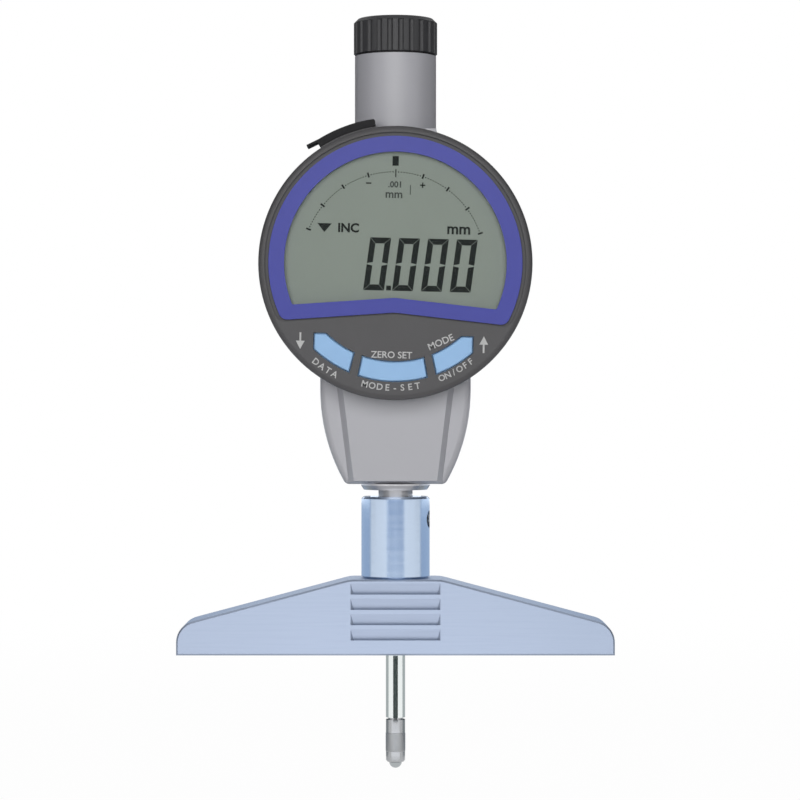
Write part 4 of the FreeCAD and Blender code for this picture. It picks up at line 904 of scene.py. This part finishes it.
    def scale(self) -> None:
        """Make the round scale, its pointer and the dark signs of the display."""
        art = self.on_panel(self.figure_proud)
        for n in range(-self.scale_marks, self.scale_marks + 1):
            if n == 0:
                continue
            angle = self.scale_reach * n / self.scale_marks
            at_division = n % self.scale_division == 0
            inner, outer, half = self.long_mark if at_division else self.short_mark
            art.sector(inner, outer, angle - half, angle + half)
        for bar in (*POINTER_BARS, MINUS_BAR, *PLUS_BARS):
            art.bar(*bar)
        art.add(INCREMENT_MARK)
        for sign in DARK_SIGNS:
            art.text(sign.text, sign.height, sign.centre, sign.turn, sign.bold)
        art.piece("display_scale", LCD_SEGMENT, self.body, "lcd_glass")

    def resting_signs(self) -> None:
        """Make the display's small signs, which switch to grey only."""
        art = self.on_panel(self.sign_proud)
        for sign in RESTING_SIGNS:
            art.text(sign.text, sign.height, sign.centre, sign.turn, sign.bold)
        art.bar(*RESTING_BAR)
        art.piece("display_resting_signs", LCD_FAINT, self.body, "lcd_glass")

    def contacts(self) -> None:
        """Make the five gold bars on the socket's tongue, under the rubber cover."""
        depth = self.contact_depth * MM
        art = Artwork(self.port_y - depth, self.port_y + depth, self.place())
        outward = Matrix.Rotation(math.radians(-self.port_deg), 4, "Y")
        for n in range(-self.contacts_aside, self.contacts_aside + 1):
            x0 = n * self.contact_pitch - self.contact_half
            x1 = n * self.contact_pitch + self.contact_half
            outline = ((x0, self.contact_foot), (x1, self.contact_foot),
                       (x1, self.contact_tip), (x0, self.contact_tip))
            corners = [outward @ Vector((x, 0, z)) for x, z in outline]
            art.add([(corner.x, corner.z) for corner in corners])
        art.piece("socket_contacts", GOLD_FLASH, self.body, "point_steel")

    def lettering(self) -> None:
        """Print the keys' names and the two arrows on the bezel."""
        art = self.on_bezel()
        for name in ARC_NAMES:
            art.arc_text(name.text, name.height, name.radius, name.middle, name.pitch, name.bold)
        for name in KEY_NAMES:
            art.text(name.text, name.height, name.centre, name.turn, name.bold)
        down, up = [(x, -z) for x, z in reversed(ARROW)], ARROW
        for (across, rise), shape in ((DOWN_ARROW_AT, down), (UP_ARROW_AT, up)):
            art.add([(across + x, rise + z) for x, z in shape])
        art.piece("key_lettering", WHITE_INK, self.body, "head_plastic")


@dataclass(frozen=True)
class Lamp:
    """A soft box that looks at the middle of the gauge.

    Attributes:
        name: Its name.
        azimuth: Degrees round the gauge from the camera, positive to the right.
        rise: Degrees above the horizon.
        reach: Its distance in metres.
        size: Its width and height in metres.
        watts: Its power.
    """

    name: str
    azimuth: float
    rise: float
    reach: float
    size: Point2
    watts: float


@dataclass(frozen=True)
class Card:
    """A card that bends round the spindle's axis and that only mirrors see.

    Attributes:
        name: Its name.
        span: Its first and last azimuth in degrees from the camera, positive to the right.
        start: Distance from the axis and height of one edge, in millimetres.
        end: The same of the other edge.
        light: How bright it is in red, green and blue, where the white room is 1.
    """

    name: str
    span: Point2
    start: Point2
    end: Point2
    light: Triple


FLOOR_MM = -27.05
CARD_FOOT = FLOOR_MM + 0.4
REAR, WIDE_REAR = (92.0, 268.0), (70.0, 290.0)
LAMPS = (
    Lamp("soft_box_key", -2.0, 9.0, 1.1, (1.0, 0.6), 7.5),
    Lamp("soft_box_left", -145.0, 0.0, 0.8, (0.5, 0.9), 1.6),
    Lamp("soft_box_right", 145.0, 0.0, 0.8, (0.5, 0.9), 1.6),
    Lamp("soft_box_top", 0.0, 80.0, 0.7, (0.7, 0.5), 0.25),
    Lamp("soft_box_back", 180.0, 30.0, 0.9, (0.8, 0.6), 2.0),
)
CARDS = (
    # In front: a dark one for the window and the frame, a blue one for the base's front, and a
    # bright one on the floor for the undercut ledges of the grip.
    Card("flag_display", (-24.0, 24.0), (720.0, 60.0), (720.0, 260.0), (0.03, 0.03, 0.03)),
    Card("flag_base", (-29.0, 29.0), (720.0, CARD_FOOT), (720.0, 60.0), (0.16, 0.29, 0.49)),
    Card("bounce_grip", (-50.0, 50.0), (20.0, CARD_FOOT), (85.0, CARD_FOOT), (1.65, 1.65, 1.7)),
    # Close round the spindle and the stem: their upright stripes and the collar's bevel.
    Card("flag_spindle", (-24.0, 24.0), (7.0, -16.6), (7.0, -1.0), (0.03, 0.045, 0.043)),
    Card("flag_stem", (-32.0, 32.0), (12.0, 36.8), (12.0, 39.6), (1.0, 1.0, 1.01)),
    Card("flag_collar", (-42.0, 42.0), (8.4, 36.2), (14.0, 36.2), (0.6, 0.6, 0.62)),
    Card("flag_spindle_back", (156.0, 204.0), (7.0, -16.6), (7.0, -1.0), (0.03, 0.045, 0.043)),
    Card("flag_stem_left", (-150.0, -36.0), (12.0, 36.8), (12.0, 38.0), (0.09, 0.09, 0.1)),
    Card("flag_stem_right", (36.0, 150.0), (12.0, 36.8), (12.0, 38.0), (0.09, 0.09, 0.1)),
    # Behind: the floor, the base's sloping shoulders and the dark upper room, which the tops and
    # the sides of round metal mirror.
    Card("flag_floor", REAR, (20.0, CARD_FOOT), (800.0, CARD_FOOT), (0.42, 0.45, 0.46)),
    Card("flag_slope", REAR, (62.0, 6.0), (62.0, 33.0), (0.46, 0.56, 0.7)),
    Card("flag_slope_high", REAR, (62.0, 33.0), (50.0, 58.0), (1.15, 1.22, 1.3)),
    Card("flag_back", REAR, (800.0, CARD_FOOT), (800.0, 58.0), (0.48, 0.59, 0.75)),
    Card("flag_back_high", WIDE_REAR, (800.0, 58.0), (800.0, 700.0), (0.08, 0.08, 0.09)),
    Card("flag_sky", WIDE_REAR, (800.0, 700.0), (60.0, 1500.0), (0.4, 0.4, 0.42)),
)


@dataclass
class Studio:
    """The white studio: floor, background, lamps, cards and camera.

    Attributes:
        floor_mm: Height of the floor, just under the contact ball.
        floor_m: Width and depth of the floor.
        floor_paint: How much of the light the floor's paint gives back.
        floor_near: How white the floor looks round the gauge, where the room is 1.
        floor_fade_m: Where it starts and ends its rise to the white of the room.
        fill: How much of the white room lights the gauge.
        target_m: The point that the lamps look at.
        card_steps: Flat steps round a card.
        camera_mm: The camera's place.
        lens_mm: Its lens.
        sensor_mm: The width of its sensor.
        clip_m: The nearest and the farthest that it sees.
    """

    floor_mm: float = FLOOR_MM
    floor_m: Point2 = (12.0, 12.0)
    floor_paint: float = 0.85
    floor_near: float = 0.98
    floor_fade_m: Point2 = (0.1, 0.5)
    fill: float = 0.04
    target_m: Triple = (0.0, 0.0, 0.07)
    card_steps: int = 24
    camera_mm: Triple = (1.05, -658.0, 59.15)
    lens_mm: float = 126.4
    sensor_mm: float = 36.0
    clip_m: Point2 = (0.01, 20.0)

    def build(self) -> None:
        """Make everything that isn't the gauge."""
        bpy.context.scene.view_settings.view_transform = "Standard"
        self.world()
        self.floor()
        for lamp in LAMPS:
            self.hang(lamp)
        for card in CARDS:
            self.stand(card)
        self.camera()

    def seen(self, tree: bpy.types.NodeTree) -> bpy.types.NodeSocket:
        """Tell the rays that see the studio from the rays that light the gauge.

        Args:
            tree: The node tree to add to.

        Returns:
            A socket that is 1 for camera, mirror and glass rays, and 0 for all others.
        """
        path = add_node(tree, "ShaderNodeLightPath")
        first = add_node(tree, "ShaderNodeMath", {"operation": "MAXIMUM"},
                         {0: path.outputs["Is Camera Ray"], 1: path.outputs["Is Glossy Ray"]})
        return add_node(tree, "ShaderNodeMath", {"operation": "MAXIMUM"},
                        {0: first.outputs[0], 1: path.outputs["Is Transmission Ray"]}).outputs[0]

    def world(self) -> None:
        """White to the eye, and a lower even fill on the gauge."""
        world = bpy.data.worlds.new("studio_world")
        bpy.context.scene.world = world
        world.use_nodes = True
        tree = world.node_tree
        tree.nodes.clear()
        strength = add_node(tree, "ShaderNodeMapRange",
                            inputs={"Value": self.seen(tree), "To Min": self.fill, "To Max": 1.0})
        back = add_node(tree, "ShaderNodeBackground",
                        inputs={"Color": (1, 1, 1, 1), "Strength": strength.outputs["Result"]})
        add_node(tree, "ShaderNodeOutputWorld", inputs={"Surface": back.outputs["Background"]})

    def floor(self) -> None:
        """A white floor that keeps part of the gauge's shadow."""
        material = bpy.data.materials.new("studio_floor")
        material.use_nodes = True
        tree = material.node_tree
        tree.nodes.clear()
        grey = (self.floor_paint, self.floor_paint, self.floor_paint, 1)
        paint = add_node(tree, "ShaderNodeBsdfDiffuse", inputs={"Color": grey})
        glow = add_node(tree, "ShaderNodeEmission",
                        inputs={"Color": (1, 1, 1, 1), "Strength": 1.0})
        place = add_node(tree, "ShaderNodeTexCoord").outputs["Object"]
        away = add_node(tree, "ShaderNodeVectorMath", {"operation": "LENGTH"}, {0: place})
        white = add_node(tree, "ShaderNodeMapRange", {"interpolation_type": "SMOOTHSTEP"},
                         {"Value": away.outputs["Value"], "From Min": self.floor_fade_m[0],
                          "From Max": self.floor_fade_m[1], "To Min": self.floor_near,
                          "To Max": 1.0})
        share = add_node(tree, "ShaderNodeMath", {"operation": "MULTIPLY"},
                         {0: self.seen(tree), 1: white.outputs["Result"]})
        both = add_node(tree, "ShaderNodeMixShader",
                        inputs={0: share.outputs[0], 1: paint.outputs[0], 2: glow.outputs[0]})
        add_node(tree, "ShaderNodeOutputMaterial", inputs={"Surface": both.outputs[0]})
        w, d = self.floor_m[0] / 2, self.floor_m[1] / 2
        z = self.floor_mm * MM
        corners = [Vector(c) for c in ((-w, -d, z), (w, -d, z), (w, d, z), (-w, d, z))]
        self.staged("studio_floor", material, corners, [(0, 1, 2, 3)])

    def staged(
        self, name: str, material: bpy.types.Material, points: Sequence[Vector],
        faces: Sequence[Sequence[int]],
    ) -> bpy.types.Object:
        """Make a mesh that belongs to the studio and not to the gauge.

        Args:
            name: Its name.
            material: Its material.
            points: Its corner points in metres.
            faces: Its faces, as numbers of corner points.

        Returns:
            The new object.
        """
        mesh = bpy.data.meshes.new(name)
        mesh.from_pydata([tuple(p) for p in points], [], [tuple(f) for f in faces])
        mesh.materials.append(material)
        made = bpy.data.objects.new(name, mesh)
        bpy.context.scene.collection.objects.link(made)
        return made

    def hang(self, lamp: Lamp) -> None:
        """Put a soft box in its place.

        Args:
            lamp: The soft box.
        """
        light = bpy.data.lights.new(lamp.name, "AREA")
        light.shape = "RECTANGLE"
        light.size, light.size_y = lamp.size
        light.energy = lamp.watts
        side, up = math.radians(lamp.azimuth), math.radians(lamp.rise)
        way = Vector((math.sin(side) * math.cos(up), -math.cos(side) * math.cos(up), math.sin(up)))
        holder = bpy.data.objects.new(lamp.name, light)
        holder.location = Vector(self.target_m) + way * lamp.reach
        holder.rotation_mode = "QUATERNION"
        holder.rotation_quaternion = (-way).to_track_quat("-Z", "Y")
        bpy.context.scene.collection.objects.link(holder)

    def stand(self, card: Card) -> None:
        """Put a card in its place. Only mirrors see it, and it throws no shadow.

        Args:
            card: The card.
        """
        material = bpy.data.materials.new(card.name)
        material.use_nodes = True
        tree = material.node_tree
        tree.nodes.clear()
        glow = add_node(tree, "ShaderNodeEmission",
                        inputs={"Color": (*card.light, 1.0), "Strength": 1.0})
        add_node(tree, "ShaderNodeOutputMaterial", inputs={"Surface": glow.outputs[0]})
        first, last = card.span
        points: List[Vector] = []
        for n in range(self.card_steps + 1):
            side = math.radians(first + (last - first) * n / self.card_steps)
            for reach, height in (card.start, card.end):
                place = Vector((math.sin(side) * reach, -math.cos(side) * reach, height))
                points.append(place * MM)
        faces = [(2 * n, 2 * n + 1, 2 * n + 3, 2 * n + 2) for n in range(self.card_steps)]
        made = self.staged(card.name, material, points, faces)
        made.visible_camera = False
        made.visible_diffuse = False
        made.visible_shadow = False
        made.visible_transmission = False

    def camera(self) -> None:
        """The camera at the photograph's place, level and looking along +Y."""
        data = bpy.data.cameras.new("camera")
        data.lens = self.lens_mm
        data.sensor_width = self.sensor_mm
        data.clip_start, data.clip_end = self.clip_m
        made = bpy.data.objects.new("camera", data)
        made.location = Vector(self.camera_mm) * MM
        made.rotation_euler = (math.pi / 2, 0, 0)
        bpy.context.scene.collection.objects.link(made)
        bpy.context.scene.camera = made


def main() -> None:
    """Dress the gauge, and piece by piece."""
    logging.basicConfig(level=logging.INFO, format="%(name)s: %(message)s")
    CadFinishes(CAD_FINISHES).dress()
    ContactPoint().build()
    BackCover().build()
    DisplayHead().build()
    Studio().build()


if __name__ == "__main__":
    main()
